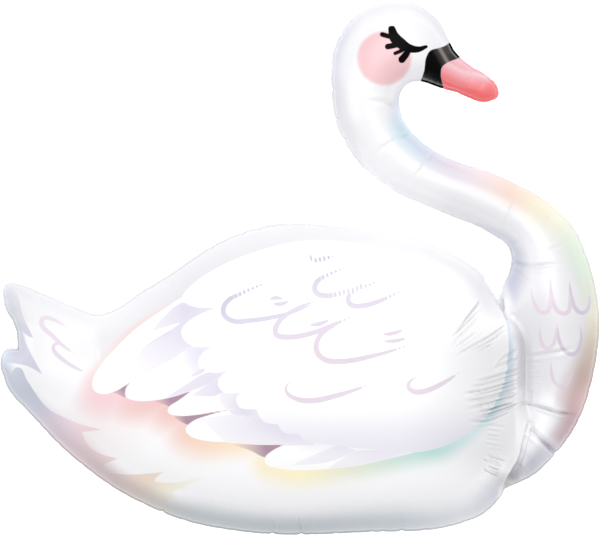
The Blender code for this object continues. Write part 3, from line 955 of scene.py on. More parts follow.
BELLY_COLOURS = [
    ((-431, -160), (196, 200, 215), 0), ((-400, -197), (190, 194, 209), 0),
    ((-385, -209), (204, 201, 216), 0), ((-355, -244), (242, 228, 238), 0),
    ((-318, -283), (240, 218, 224), 0), ((-281, -312), (238, 218, 210), 0),
    ((-237, -341), (238, 222, 204), 0), ((-200, -358), (246, 245, 228), 0),
    ((-100, -385), (248, 250, 246), 0),
]
WING_CENTRE = (0, -120)
WING_GLOW = [
    ((-281, -197), (242, 205, 209), 62), ((-318, -174), (238, 211, 214), 30),
    ((-300, -137), (240, 227, 225), 14), ((-251, -93), (238, 216, 216), 13),
    ((-200, -56), (233, 221, 222), 11), ((-170, -25), (226, 222, 228), 3), ((-150, 0), (226, 226, 230), 0),
    ((253, -18), (240, 240, 250), 0), ((297, -70), (236, 240, 250), 8), ((309, -122), (206, 222, 234), 15),
    ((297, -197), (212, 231, 236), 17), ((253, -241), (222, 242, 244), 20),
    ((194, -266), (186, 225, 219), 32), ((134, -283), (206, 228, 216), 36), ((75, -296), (229, 233, 211), 32),
    ((1, -300), (254, 244, 200), 42), ((-73, -289), (251, 238, 212), 34), ((-133, -263), (248, 219, 195), 50),
    ((-177, -234), (243, 208, 199), 50), ((-222, -204), (238, 198, 195), 66),
]
# The painted shade of the back, between the wing and the rim.
BACK_SHADE = [
    ((-318, -174), (240, 240, 242), 0), ((-297, -130), (236, 235, 238), 10),
    ((-251, -93), (231, 231, 234), 56), ((-200, -56), (227, 227, 231), 60),
    ((-170, -21), (223, 223, 227), 60), ((-88, 18), (227, 227, 230), 56), ((0, 44), (231, 231, 234), 46),
    ((60, 44), (238, 238, 241), 40), ((120, 42), (250, 249, 251), 40), ((179, 29), (253, 253, 254), 40),
    ((260, -20), (253, 253, 254), 40), ((300, -75), (253, 253, 254), 20), ((309, -110), (253, 253, 254), 0),
    ((0, -300), (240, 240, 242), 0),
]


def shape_gap(points, shapes, margin):
    """Signed distance to the joined outline of some shapes, negative inside, and the nearest one's tone."""
    gap = np.full(len(points), margin)
    tone = np.zeros(len(points))
    for shape in shapes:
        knots = np.array(shape.outline) * MM
        line = smooth(knots, True, knots[list(shape.corners)], 6)
        near = nearby(points, line, margin)
        for part in np.array_split(near, max(1, len(near) // 4000)):
            distance = to_line(points[part], line, True)[0]
            distance = np.where(inside(points[part], line), -distance, distance)
            closer = distance < gap[part]
            gap[part[closer]] = distance[closer]
            if shape.root:
                from_root = np.linalg.norm(points[part[closer]] - np.array(shape.root) * MM, axis=1)
                tone[part[closer]] = np.clip((1 - from_root / (shape.reach * MM)) / (1 - shape.hold), 0, 1)
    return gap, tone


def stroke_gap(points, knots, widths):
    """Signed distance to a brush stroke whose half width follows the given widths, in millimetres."""
    line = smooth(np.array(knots) * MM, steps=6)
    near = nearby(points, line, STROKE_REACH)
    distance, share = to_line(points[near], line)
    return near, distance - np.interp(share, np.linspace(0, 1, len(widths)), widths) * MM, share


def print_fields(points, rim_gap, rim_share):
    """Every field that the print's shader reads, by name."""
    count = len(points)
    turn = 2 * np.pi * rim_share
    fields = {"rim_gap": rim_gap, "rim_turn": np.column_stack((np.cos(turn), np.sin(turn), np.zeros(count)))}
    fields["lobe_gap"] = shape_gap(points, [WING_TOP], WING_REACH)[0]
    fields["wing_gap"] = np.minimum(fields["lobe_gap"], shape_gap(points, LONG_FEATHERS, WING_REACH)[0])
    fields["lilac_gap"], fields["lilac_tone"] = shape_gap(points, LILAC_WEDGES, STROKE_REACH)
    fields["dark_gap"], fields["dark_tone"] = shape_gap(points, FEATHER_GAPS, GAP_REACH)
    marks = {"tail_gap": TAIL_DARTS, "belly_gap": BELLY_BAND, "mask_gap": BEAK_MASK, "bill_gap": BILL}
    for name, shapes in marks.items():
        fields[name] = shape_gap(points, shapes, MARK_REACH)[0]
    fields["stroke_gap"] = np.full(count, STROKE_REACH)
    for name in ("stroke_dry", "stroke_hue", "stroke_pale"):
        fields[name] = np.zeros(count)
    for stroke in STROKES:
        near, gap, share = stroke_gap(points, stroke.knots, np.array(STROKE_SWELL) * stroke.width)
        closer = gap < fields["stroke_gap"][near]
        near, share = near[closer], share[closer]
        dry = np.clip(np.maximum(1 - share / stroke.dry[0], 1 - (1 - share) / stroke.dry[1]), 0, 1)
        fields["stroke_gap"][near] = gap[closer]
        fields["stroke_dry"][near] = dry
        fields["stroke_hue"][near] = stroke.hue
        fields["stroke_pale"][near] = stroke.pale
    fields["eye_gap"] = np.full(count, STROKE_REACH)
    for knots, widths in EYE_LINES:
        near, gap, _ = stroke_gap(points, knots, widths)
        fields["eye_gap"][near] = np.minimum(fields["eye_gap"][near], gap)
    # Painted shade beside the inner weld, set a little off its line.
    line = cad_lines()[1] + np.array(SHADE_SHIFT) * MM
    near, shade = along_seal(points, line, SEAM_SHADE, (0.05, 0.3), 2)
    fields["valley"] = np.zeros(count)
    fields["valley"][near] = shade
    fields["blush_gap"] = np.linalg.norm(points - np.array(BLUSH) * MM, axis=1) - BLUSH_RADIUS * MM
    return fields


def store_fields(mesh, fields):
    """Each field as an attribute of the mesh's points."""
    for name, values in fields.items():
        kind, key = ("FLOAT", "value") if values.ndim == 1 else ("FLOAT_VECTOR", "vector")
        mesh.attributes.new(name, kind, "POINT").data.foreach_set(key, values.astype(np.float32).ravel())


# ----- Node helpers and shader groups -----

# The painted shade over the neck stops at a line that slopes down over the back towards the breast.
BACK_SLOPE = 0.745
BACK_LEVEL = 191 * MM
# How strong each painted shade is.
NECK_SHADE = 0.27
BREAST_SHADE = 0.12
BODY_SHADE = 0.42
CREASE_SHADE = 0.25
VALLEY_SHADE = 0.8
# The bill's colours at shares of the way across it, from its lower side, with a painted highlight streak at
# about 0.54 to 0.6, and the directions across and along.
BILL_PRINT_AND_HIGHLIGHT = {
    0.05: (255, 132, 134), 0.22: (255, 151, 154), 0.42: (253, 181, 188), 0.54: (252, 206, 211),
    0.6: (252, 210, 215), 0.67: (250, 187, 196), 0.95: (248, 190, 198),
}
BILL_ACROSS = (0.49, 0.87, 0)
BILL_ALONG = (0.87, -0.49, 0)
# The distances across between which those colours lie, how far they move up towards the tip, and how much of
# the lower side's colour the tip has, so that the painted highlight ends short of it.  A range is where it
# starts and ends and its values there.
BILL_RANGE = (346 * MM, 390 * MM)
BILL_RISE = (60 * MM, 115 * MM, 0.0, 13 * MM)
BILL_TIP = (100 * MM, 115 * MM, 0.0, 0.6)
# The painted highlight on the mask: the direction across it, where its middle lies along that, and its
# ranges.
STREAK_ACROSS = (0.86, 0.51, 0)
STREAK_PLACE = 344 * MM
STREAK_EDGE = (14 * MM, 4 * MM)
STREAK_MIDDLE = (5 * MM, 0, 0.0, 0.9)
# Colours that the settings don't hold, in display values: pale clouds in the pearl, the pearl low on the
# belly, the painted light along the rim, the tail's darts, the gaps between the feathers, the lowest lobes,
# the palest strokes, and the edge and middle of the painted highlight on the mask.
CLOUD_INK = (247, 246, 249)
LOW_PEARL_INK = (252, 252, 254)
PAINTED_RIM_LIGHT = (255, 255, 255)
DART_INK = (207, 206, 222)
GAP_INK = (172, 140, 160)
LOW_LOBE_INK = (229, 227, 238)
PALE_STROKE_INK = (255, 238, 250)
PAINTED_STREAK_HIGHLIGHT = ((68, 62, 60), (162, 150, 149))
# A band along the rim is full over this share of its width, and then fades; so is the painted shade of the
# back.
BAND_START = 0.15
BACK_START = 0.6
# Lilac runs out from under the lobes this far.
LOBE_SHADE_REACH = 20 * MM
# The coat over the film, and the share of metal where the ink is black.
COAT = 0.2
BLACK_METAL = 0.92


def tint(red, green, blue):
    """A colour from its display values, from 0 to 255, as the linear values that a shader takes."""
    shares = [value / 255 for value in (red, green, blue)]
    linear = [share / 12.92 if share <= 0.04045 else ((share + 0.055) / 1.055) ** 2.4 for share in shares]
    return (*linear, 1.0)


def add(tree, kind, inputs=(), **settings):
    """A new node with its settings and its inputs, each given as a value or as a socket to link."""
    node = tree.nodes.new(kind)
    for name, value in settings.items():
        setattr(node, name, value)
    for key, value in dict(inputs).items():
        if isinstance(value, bpy.types.NodeSocket):
            tree.links.new(value, node.inputs[key])
        else:
            node.inputs[key].default_value = value
    return node


def output(tree, kind, inputs=(), **settings):
    """The first output of a new node."""
    return add(tree, kind, inputs, **settings).outputs[0]


def sums(tree, operation, *values, clamp=False):
    """The result of a Math node."""
    return output(tree, "ShaderNodeMath", enumerate(values), operation=operation, use_clamp=clamp)


def product(tree, value, *others):
    """The product of some values, by Math nodes."""
    for other in others:
        value = sums(tree, "MULTIPLY", value, other)
    return value


def dot(tree, place, way):
    """How far a place lies along a direction."""
    return add(tree, "ShaderNodeVectorMath", {0: place, 1: way}, operation="DOT_PRODUCT").outputs["Value"]


def span(tree, value, low, high, to_low=0.0, to_high=1.0, kind="SMOOTHSTEP"):
    """The result of a clamped Map Range node."""
    inputs = {"Value": value, "From Min": low, "From Max": high, "To Min": to_low, "To Max": to_high}
    return add(tree, "ShaderNodeMapRange", inputs, interpolation_type=kind).outputs["Result"]


def blend(tree, share, under, over, kind="MIX"):
    """The result of a Mix node between two colours."""
    inputs = {0: share, 6: under, 7: over}
    return add(tree, "ShaderNodeMix", inputs, data_type="RGBA", blend_type=kind).outputs[2]


def noise(tree, place, scale, detail=2.0, roughness=0.5):
    """The value of a Noise node at a place."""
    inputs = {"Vector": place, "Scale": scale, "Detail": detail, "Roughness": roughness}
    return output(tree, "ShaderNodeTexNoise", inputs)


def field(tree, name):
    """A field of the mesh, by its name."""
    return add(tree, "ShaderNodeAttribute", attribute_name=name).outputs["Fac"]


def object_place(tree):
    """The place on the piece, in metres."""
    return add(tree, "ShaderNodeTexCoord").outputs["Object"]


def opaque(colour):
    """A colour with full alpha."""
    return (*colour, 1)


def new_group(name, kind, inputs, outputs):
    """An empty node group with its sockets, and its input and output nodes."""
    old = bpy.data.node_groups.get(name)
    if old:
        bpy.data.node_groups.remove(old)
    tree = bpy.data.node_groups.new(name, kind)
    for socket, socket_kind, default in inputs:
        made = tree.interface.new_socket(socket, in_out="INPUT", socket_type="NodeSocket" + socket_kind)
        if default is not None:
            made.default_value = default
    for socket, socket_kind in outputs:
        tree.interface.new_socket(socket, in_out="OUTPUT", socket_type="NodeSocket" + socket_kind)
    return tree, tree.nodes.new("NodeGroupInput").outputs, tree.nodes.new("NodeGroupOutput").inputs


def laid_colour():
    """A colour laid inside an outline, print and painted light alike: Gap is the signed distance to it,
    negative inside.
    """
    tree, given, result = new_group("Laid colour", "ShaderNodeTree", [
        ("Under", "Color", None), ("Ink", "Color", None), ("Gap", "Float", 0.0),
        ("Softness", "Float", 0.7 * MM), ("Strength", "Float", 1.0),
    ], [("Color", "Color")])
    inner = product(tree, given["Softness"], -1.0)
    share = product(tree, span(tree, given["Gap"], given["Softness"], inner), given["Strength"])
    tree.links.new(blend(tree, share, given["Under"], given["Ink"]), result["Color"])
    return tree


def faded_colour():
    """A colour that fades from an outline, print and painted shade alike: full over the share Start of Reach,
    and gone at Reach.
    """
    tree, given, result = new_group("Faded colour", "ShaderNodeTree", [
        ("Under", "Color", None), ("Ink", "Color", None), ("Gap", "Float", 0.0), ("Reach", "Float", 20 * MM),
        ("Start", "Float", 0.0), ("Strength", "Float", 1.0),
    ], [("Color", "Color")])
    start = product(tree, given["Reach"], given["Start"])
    reach = sums(tree, "ADD", given["Reach"], 0.1 * MM)
    thin = span(tree, given["Reach"], 0.0, 6 * MM, kind="LINEAR")
    share = product(tree, span(tree, given["Gap"], start, reach, 1.0, 0.0), thin, given["Strength"])
    tree.links.new(blend(tree, share, given["Under"], given["Ink"]), result["Color"])
    return tree


def film_crinkle():
    """Fine crinkles of blown film: soft dents all over, and streaks that run in from the weld."""
    tree, given, result = new_group("Film crinkle", "ShaderNodeTree", [
        ("Dents", "Float", 0.12 * MM), ("Streaks", "Float", 0.25 * MM), ("Streak Reach", "Float", 30 * MM),
    ], [("Height", "Float"), ("Sheen", "Float")])
    place = object_place(tree)
    dents = noise(tree, place, 38.0, 3.0, 0.55)
    fine = noise(tree, place, 170.0)
    gap = field(tree, "rim_gap")
    turn = add(tree, "ShaderNodeAttribute", attribute_name="rim_turn").outputs["Vector"]
    inward = output(tree, "ShaderNodeCombineXYZ", {"Z": product(tree, gap, 0.6)})
    along = output(tree, "ShaderNodeVectorMath", {0: turn, 1: inward}, operation="ADD")
    near = span(tree, gap, 0.0, given["Streak Reach"], 1.0, 0.0)
    streaks = product(tree, noise(tree, along, 95.0), near, given["Streaks"])
    height = sums(tree, "ADD", product(tree, dents, given["Dents"]), streaks)
    tree.links.new(height, result["Height"])
    tree.links.new(sums(tree, "MULTIPLY_ADD", fine, 0.35, product(tree, dents, 0.65)), result["Sheen"])
    return tree


def round_ramp(tree, vector, stops):
    """A colour ramp round a circle: its stops are shares of the way round, colours and widths in millimetres.

    The width comes out of the ramp's alpha, in metres.
    """
    turn = add(tree, "ShaderNodeTexGradient", {"Vector": vector}, gradient_type="RADIAL").outputs["Fac"]
    ramp = add(tree, "ShaderNodeValToRGB", {"Fac": turn})
    stops = sorted(
        ((share + 0.5) % 1, (*tint(*colour)[:3], width * MM / BAND_LIMIT)) for share, colour, width in stops
    )
    places = [place for place, _ in stops]
    colours = np.array([colour for _, colour in stops])
    seam = [np.interp(0, places, colours[:, channel], period=1) for channel in range(4)]
    elements = ramp.color_ramp.elements
    for place, colour in stops:
        elements.new(place).color = colour
    for element in (elements[0], elements[-1]):
        element.color = seam
    width = product(tree, ramp.outputs["Alpha"], BAND_LIMIT)
    return ramp.outputs["Color"], width


def painted_shade(tree, x, y):
    """How strongly painted shade greys the film: a little over the neck and breast, and more beside the inner
    weld.

    Each grey grows between the first and second place in millimetres, to the strength given after them.
    """

    def rising(value, low, high, top=1.0):
        return span(tree, value, low * MM, high * MM, 0.0, top)

    above_back = sums(tree, "ADD", sums(tree, "MULTIPLY_ADD", x, BACK_SLOPE, y), -BACK_LEVEL)
    neck = sums(tree, "MAXIMUM", rising(above_back, -6, 14), rising(x, 303, 322))
    neck = product(tree, neck, rising(x, 150, 240), rising(y, -260, -200, NECK_SHADE))
    breast = product(tree, rising(x, 303, 322), rising(y, -20, -140, BREAST_SHADE), rising(y, -212, -180))
    # Painted shade over the body's right side, beside the ruffles.
    body = product(tree, rising(x, 130, 290, BODY_SHADE), rising(x, 325, 315), rising(y, -80, -130))
    body = product(tree, body, rising(y, -320, -265))
    shade = sums(tree, "MAXIMUM", sums(tree, "ADD", neck, breast), body)
    # Painted shade in the beds of the creases.
    crease = sums(tree, "MULTIPLY", field(tree, "crease"), CREASE_SHADE, clamp=True)
    valley = product(tree, field(tree, "valley"), VALLEY_SHADE)
    return sums(tree, "MAXIMUM", sums(tree, "MAXIMUM", shade, crease), valley)


def stroke_ink(tree, x, y, inks):
    """The colour of the brush strokes, and how strongly it covers: a dry brush leaves upright dashes."""
    slanted = sums(tree, "MULTIPLY_ADD", y, 0.18, x)
    dashes = sums(tree, "SINE", product(tree, slanted, 2 * math.pi / DASH))
    bare = product(tree, span(tree, dashes, -0.1, 0.25), span(tree, field(tree, "stroke_dry"), 0.1, 0.5))
    ink = blend(tree, field(tree, "stroke_hue"), opaque(inks.stroke_lilac), opaque(inks.stroke_pink))
    ink = blend(tree, field(tree, "stroke_pale"), ink, tint(*PALE_STROKE_INK))
    return ink, sums(tree, "SUBTRACT", 1.0, bare)


def bill_print_and_highlight(tree, place, inks):
    """The bill's colour: print that pales from below, with a painted highlight streak that ends short of the
    tip.
    """
    across = dot(tree, place, BILL_ACROSS)
    along = dot(tree, place, BILL_ALONG)
    across = sums(tree, "SUBTRACT", across, span(tree, along, *BILL_RISE))
    ramp = add(tree, "ShaderNodeValToRGB", {"Fac": span(tree, across, *BILL_RANGE, kind="LINEAR")})
    elements = ramp.color_ramp.elements
    for spot, shade in BILL_PRINT_AND_HIGHLIGHT.items():
        elements.new(spot).color = tint(*shade)
    elements[0].color = opaque(inks.bill)
    elements[-1].color = elements[-2].color
    return blend(tree, span(tree, along, *BILL_TIP), ramp.outputs["Color"], opaque(inks.bill))


def mask_print_and_highlight(tree, place, inks):
    """The colour of the mask: black print, with a painted highlight streak across it towards the bill."""
    streak = sums(tree, "ABSOLUTE", sums(tree, "SUBTRACT", dot(tree, place, STREAK_ACROSS), STREAK_PLACE))
    mask = blend(tree, span(tree, streak, *STREAK_EDGE), opaque(inks.black), tint(*PAINTED_STREAK_HIGHLIGHT[0]))
    return blend(tree, span(tree, streak, *STREAK_MIDDLE), mask, tint(*PAINTED_STREAK_HIGHLIGHT[1]))


def ring_stops(ring):
    """A band's stops as shares of the way round the wing's middle."""
    stops = []
    for (knot_x, knot_y), colour, width in ring:
        angle = math.atan2(knot_y - WING_CENTRE[1], knot_x - WING_CENTRE[0])
        stops.append((angle / (2 * math.pi) % 1, colour, width))
    return stops


def rim_stops(rim, band):
    """A band's stops as shares of the way along the rim."""
    runs = rim_place(np.array([stop[0] for stop in band]) * MM, rim.line)[1] / rim.length
    return [(run, colour, width) for run, (_, colour, width) in zip(runs, band)]


def swan_print_and_painted_light(plan_key, inks):
    """A film's print with painted light and shade, as one group: its colour, and where dark and black ink
    lie.
    """
    rim = welded_rim(plan_key)
    results = [("Color", "Color"), ("Ink", "Float"), ("Black", "Float")]
    tree, _, result = new_group("Swan print and painted light", "ShaderNodeTree", [], results)

    def printed(group, under, ink, gap, **more):
        inputs = {"Under": under, "Ink": ink, "Gap": gap}
        inputs.update({name.title(): value for name, value in more.items()})
        return add(tree, "ShaderNodeGroup", inputs_of(group, inputs), node_tree=group).outputs["Color"]

    laid = partial(printed, laid_colour())
    faded = partial(printed, faded_colour())
    place = object_place(tree)
    x, y, _ = add(tree, "ShaderNodeSeparateXYZ", {0: place}).outputs
    turn = add(tree, "ShaderNodeAttribute", attribute_name="rim_turn").outputs["Vector"]
    rim_gap, wing_gap, lobe_gap, bill_gap, mask_gap, eye_gap = (
        field(tree, name) for name in ("rim_gap", "wing_gap", "lobe_gap", "bill_gap", "mask_gap", "eye_gap")
    )

    # The pearl film and the bands of colour along the rim, print with painted shade in their greys.
    cloud = noise(tree, place, 9.0)
    colour = blend(tree, span(tree, cloud, 0.35, 0.65), opaque(inks.pearl), tint(*CLOUD_INK))
    colour = blend(tree, span(tree, y, -160 * MM, -225 * MM), colour, tint(*LOW_PEARL_INK))
    colour = laid(colour, tint(*DART_INK), field(tree, "tail_gap"))
    for band in (REAR_BAND, BELLY_COLOURS, LOWER_BAND, FRONT_BAND):
        ink, width = round_ramp(tree, turn, rim_stops(rim, band))
        if band is BELLY_COLOURS:
            colour = laid(colour, ink, field(tree, "belly_gap"))
        else:
            colour = faded(colour, ink, rim_gap, reach=width, start=BAND_START)
    # Painted light: the colour is paled towards white near the rim, lifting the shade of its steep edge.
    colour = blend(tree, span(tree, rim_gap, 4 * MM, 0, 0.0, 0.3), colour, tint(*PAINTED_RIM_LIGHT))

    # The painted shade of the back and the pastel print round the wing, and the wing's feathers and lobes.
    middle = [-value * MM for value in (*WING_CENTRE, 0)]
    centred = output(tree, "ShaderNodeMapping", {0: place, "Location": middle})
    for ring, start in ((BACK_SHADE, BACK_START), (WING_GLOW, 0.0)):
        ink, width = round_ramp(tree, centred, ring_stops(ring))
        colour = faded(colour, ink, wing_gap, reach=width, start=start)
    colour = laid(colour, tint(*GAP_INK), field(tree, "dark_gap"), strength=field(tree, "dark_tone"))
    feather = opaque(inks.feather)
    lilac = opaque(inks.lilac)
    colour = laid(colour, feather, wing_gap)
    on_feathers = span(tree, wing_gap, 0.0, -1 * MM)
    under_lobes = product(tree, on_feathers, 0.35)
    colour = faded(colour, lilac, lobe_gap, reach=LOBE_SHADE_REACH, strength=under_lobes)
    paler_below = span(tree, y, -275 * MM, -225 * MM, 0.5, 1.0)
    tone = product(tree, field(tree, "lilac_tone"), on_feathers, paler_below)
    colour = laid(colour, lilac, field(tree, "lilac_gap"), strength=tone)
    greyer_below = product(tree, span(tree, y, -180 * MM, -268 * MM), 0.85)
    colour = laid(colour, blend(tree, greyer_below, feather, tint(*LOW_LOBE_INK)), lobe_gap)
    ink, strength = stroke_ink(tree, x, y, inks)
    colour = laid(colour, ink, field(tree, "stroke_gap"), strength=strength)

    # The face.
    colour = laid(colour, opaque(inks.blush), field(tree, "blush_gap"), softness=3.5 * MM)
    colour = laid(colour, bill_print_and_highlight(tree, place, inks), bill_gap)
    colour = laid(colour, mask_print_and_highlight(tree, place, inks), mask_gap)
    colour = laid(colour, opaque(inks.black), eye_gap)
    # Painted shade: the print is multiplied by the shade's grey over the neck, breast and body, in creases
    # and beside the inner weld.
    colour = blend(tree, painted_shade(tree, x, y), colour, opaque(inks.shade), "MULTIPLY")
    tree.links.new(colour, result["Color"])
    black_gap = sums(tree, "MINIMUM", mask_gap, eye_gap)
    dark_gap = sums(tree, "MINIMUM", black_gap, bill_gap)
    for gap, name in ((black_gap, "Black"), (dark_gap, "Ink")):
        tree.links.new(span(tree, gap, 0.5 * MM, -0.5 * MM), result[name])
    return tree


def inputs_of(group, given):
    """The given inputs by their numbers in a group, because a new group node has no sockets to name yet."""
    names = [item.name for item in group.interface.items_tree if item.in_out == "INPUT"]
    return {names.index(name): value for name, value in given.items()}


def foil_material(name, plan_key, inks, crinkle, streaks):
    """Pearl foil with the swan's print and painted light and shade, satin all over and glossier where the ink
    is dark.
    """
    material = bpy.data.materials.new(name)
    material.use_nodes = True
    tree = material.node_tree
    shader = tree.nodes["Principled BSDF"]
    ink = add(tree, "ShaderNodeGroup", node_tree=swan_print_and_painted_light(plan_key, inks)).outputs
    relief = add(tree, "ShaderNodeGroup", node_tree=film_crinkle())
    relief.inputs["Dents"].default_value = crinkle * MM
    relief.inputs["Streaks"].default_value = streaks * MM
    bump = add(tree, "ShaderNodeBump", {"Height": relief.outputs["Height"], "Distance": 1.0})
    glossy = inks.roughness - 0.05
    dull = inks.roughness + 0.05
    sheen = span(tree, relief.outputs["Sheen"], 0.3, 0.7, glossy, dull, "LINEAR")
    tree.links.new(ink["Color"], shader.inputs["Base Color"])
    tree.links.new(sums(tree, "MULTIPLY_ADD", ink["Ink"], -0.08, sheen), shader.inputs["Roughness"])
    tree.links.new(bump.outputs["Normal"], shader.inputs["Normal"])
    # Black ink lies on bright metal, without the film's coat, so it hardly mirrors the room.
    metal = sums(tree, "MULTIPLY_ADD", ink["Black"], BLACK_METAL - inks.metal, inks.metal)
    tree.links.new(metal, shader.inputs["Metallic"])
    tree.links.new(sums(tree, "MULTIPLY_ADD", ink["Black"], -COAT, COAT), shader.inputs["Coat Weight"])
    shader.inputs["Coat Roughness"].default_value = 0.25
    return material


# ----- Pieces -----


def add_piece(name, mesh, material):
    """A piece of the swan at the origin, riding on the balloon and standing for its envelope."""
    old = bpy.data.objects.get(name)
    if old:
        bpy.data.objects.remove(old)
    mesh.name = name
    mesh.materials.clear()
    mesh.materials.append(material)
    piece = bpy.data.objects.new(name, mesh)
    bpy.context.scene.collection.objects.link(piece)
    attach(piece, BODY)
    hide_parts(ENVELOPE)


def lip_wall(plan, count):
    """The triangles of the wall of film that runs from the valley's lips down to the inner weld.

    Gives the lip's points too; the wall's lower points are numbered on from the given count.
    """
    lip = np.flatnonzero(plan.seal_place >= 0)
    lip = lip[np.argsort(plan.seal_place[lip])]
    low = count + np.arange(len(lip))
    next_lip = np.roll(lip, -1)
    next_low = np.roll(low, -1)
    wall = np.vstack((np.column_stack((lip, low, next_low)), np.column_stack((lip, next_low, next_lip))))
    runs_on = (plan.triangles == lip[0]) & (np.roll(plan.triangles, -1, axis=1) == lip[1])
    return lip, wall if runs_on.any() else wall[:, ::-1]


def film_mesh(plan_key, folds, side, gap):
    """The mesh of one film; the wall below its valley has a sharp upper edge, so the film stays smooth."""
    plan = film_plan(*plan_key)
    places, printed, rim_gap, rim_share, bed = film_places(plan_key, folds, side, gap)
    lip, wall = lip_wall(plan, len(places))
    foot = np.column_stack((plan.points[lip], np.full(len(lip), plan.level + side * gap / 2)))
    fields = {**print_fields(printed, rim_gap, rim_share), "crease": bed}
    fields = {name: np.concatenate((values, values[lip])) for name, values in fields.items()}
    places = np.vstack((places, foot))
    triangles = np.vstack((plan.triangles, wall))
    corners = plan.points[triangles[0]]
    turns_left = np.linalg.det(corners[1:] - corners[0]) > 0
    if turns_left != (side > 0):
        triangles = triangles[:, ::-1]
    mesh = bpy.data.meshes.new("film")
    mesh.vertices.add(len(places))
    mesh.vertices.foreach_set("co", places.ravel())
    mesh.loops.add(triangles.size)
    mesh.loops.foreach_set("vertex_index", triangles.ravel())
    mesh.polygons.add(len(triangles))
    mesh.polygons.foreach_set("loop_start", np.arange(0, triangles.size, 3))
    mesh.update(calc_edges=True)
    mesh.shade_smooth()
    ends = np.zeros(2 * len(mesh.edges), dtype=np.int32)
    mesh.edges.foreach_get("vertices", ends)
    sharp = mesh.attributes.new("sharp_edge", "BOOLEAN", "EDGE")
    sharp.data.foreach_set("value", np.isin(ends.reshape(-1, 2), lip).all(axis=1))
    store_fields(mesh, fields)
    return mesh


def weld_band_nodes():
    """A tree that turns a line of edges into a crimped band of welded film."""
    tree, given, result = new_group("Weld band", "GeometryNodeTree", [
        ("Geometry", "Geometry", None), ("Width", "Float", 5 * MM), ("Thickness", "Float", 0.8 * MM),
        ("Crimp Height", "Float", 0.4 * MM), ("Crimp Length", "Float", 5 * MM), ("Step", "Float", 1.1 * MM),
        ("Seed", "Float", 0.0), ("Material", "Material", None),
    ], [("Geometry", "Geometry")])

    def captured(geometry, kind, value):
        node = tree.nodes.new("GeometryNodeCaptureAttribute")
        node.capture_items.new(kind, "kept")
        tree.links.new(geometry, node.inputs["Geometry"])
        tree.links.new(value, node.inputs["kept"])
        return node.outputs["Geometry"], node.outputs["kept"]

    place = output(tree, "GeometryNodeInputPosition")
    path = output(tree, "GeometryNodeMeshToCurve", {"Mesh": given["Geometry"]})
    resampled = {"Curve": path, "Length": given["Step"]}
    path = output(tree, "GeometryNodeResampleCurve", resampled, mode="LENGTH")
    path, centre = captured(path, "VECTOR", place)
    run = add(tree, "GeometryNodeSplineParameter").outputs["Length"]
    path, run = captured(path, "FLOAT", run)
    section = add(tree, "GeometryNodeCurvePrimitiveCircle", {"Resolution": 8, "Radius": 1.0}).outputs["Curve"]
    section, corner = captured(section, "VECTOR", place)
    tube = {"Curve": path, "Profile Curve": section, "Fill Caps": True}
    band = output(tree, "GeometryNodeCurveToMesh", tube)

    across, up, _ = add(tree, "ShaderNodeSeparateXYZ", {0: corner}).outputs
    beat = sums(tree, "ADD", sums(tree, "DIVIDE", run, given["Crimp Length"]), given["Seed"])
    wave = {"W": beat, "Scale": 1.0, "Detail": 1.0}
    beaten = output(tree, "ShaderNodeTexNoise", wave, noise_dimensions="1D")
    crimp = product(tree, sums(tree, "SUBTRACT", beaten, 0.5), given["Crimp Height"])
    crimp = product(tree, crimp, sums(tree, "MULTIPLY_ADD", across, 1.0, 1.6))
    rise = sums(tree, "MULTIPLY_ADD", product(tree, up, given["Thickness"]), 0.5, crimp)
    rise = output(tree, "ShaderNodeCombineXYZ", {"Z": rise})
    kind = "FLOAT_VECTOR"
    side = output(tree, "GeometryNodeInputNamedAttribute", {"Name": "outward"}, data_type=kind)
    reach = product(tree, across, given["Width"], 0.5)
    side = output(tree, "ShaderNodeVectorMath", {0: side, "Scale": reach}, operation="SCALE")
    moved = output(tree, "ShaderNodeVectorMath", {0: centre, 1: side}, operation="ADD")
    moved = output(tree, "ShaderNodeVectorMath", {0: moved, 1: rise}, operation="ADD")
    for step, more in (
        ("SetPosition", {"Position": moved}), ("SetShadeSmooth", {}), ("RealizeInstances", {}),
        ("SetMaterial", {"Material": given["Material"]}),
    ):
        band = output(tree, "GeometryNode" + step, {"Geometry": band, **more})
    tree.links.new(band, result["Geometry"])
    return tree


def band_mesh(line, side, closed, fields, settings):
    """The mesh of a weld band along a line, given the outward direction and the print's fields along it."""
    count = len(line)
    path = bpy.data.meshes.new("path")
    edges = [(i, (i + 1) % count) for i in range(count if closed else count - 1)]
    path.from_pydata(line, edges, [])
    store_fields(path, fields)
    store_fields(path, {"outward": np.column_stack((side, np.zeros(count)))})
    carrier = bpy.data.objects.new("path", path)
    bpy.context.scene.collection.objects.link(carrier)
    modifier = carrier.modifiers.new("Weld band", "NODES")
    modifier.node_group = weld_band_nodes()
    for item in modifier.node_group.interface.items_tree:
        if item.in_out == "INPUT" and item.name in settings:
            modifier[item.identifier] = settings[item.name]
    evaluated = carrier.evaluated_get(bpy.context.evaluated_depsgraph_get())
    mesh = bpy.data.meshes.new_from_object(evaluated)
    bpy.data.objects.remove(carrier)
    bpy.data.meshes.remove(path)
    mesh.attributes.remove(mesh.attributes["outward"])
    return mesh


# ----- Settings -----


def length(name, description, millimetres, low, high):
    """A length, given in millimetres and kept in metres."""
    return FloatProperty(
        name=name, description=description, default=millimetres * MM, min=low * MM, max=high * MM,
        unit="LENGTH", precision=4,
    )


def amount(name, description, default, low=0.0, high=2.0, subtype="NONE"):
    """A plain number or a share."""
    return FloatProperty(
        name=name, description=description, default=default, min=low, max=high, subtype=subtype
    )


def paint(name, description, *display):
    """A colour, given in display values."""
    return FloatVectorProperty(
        name=name, description=description, subtype="COLOR", size=3, min=0.0, max=1.0,
        default=tint(*display)[:3],
    )


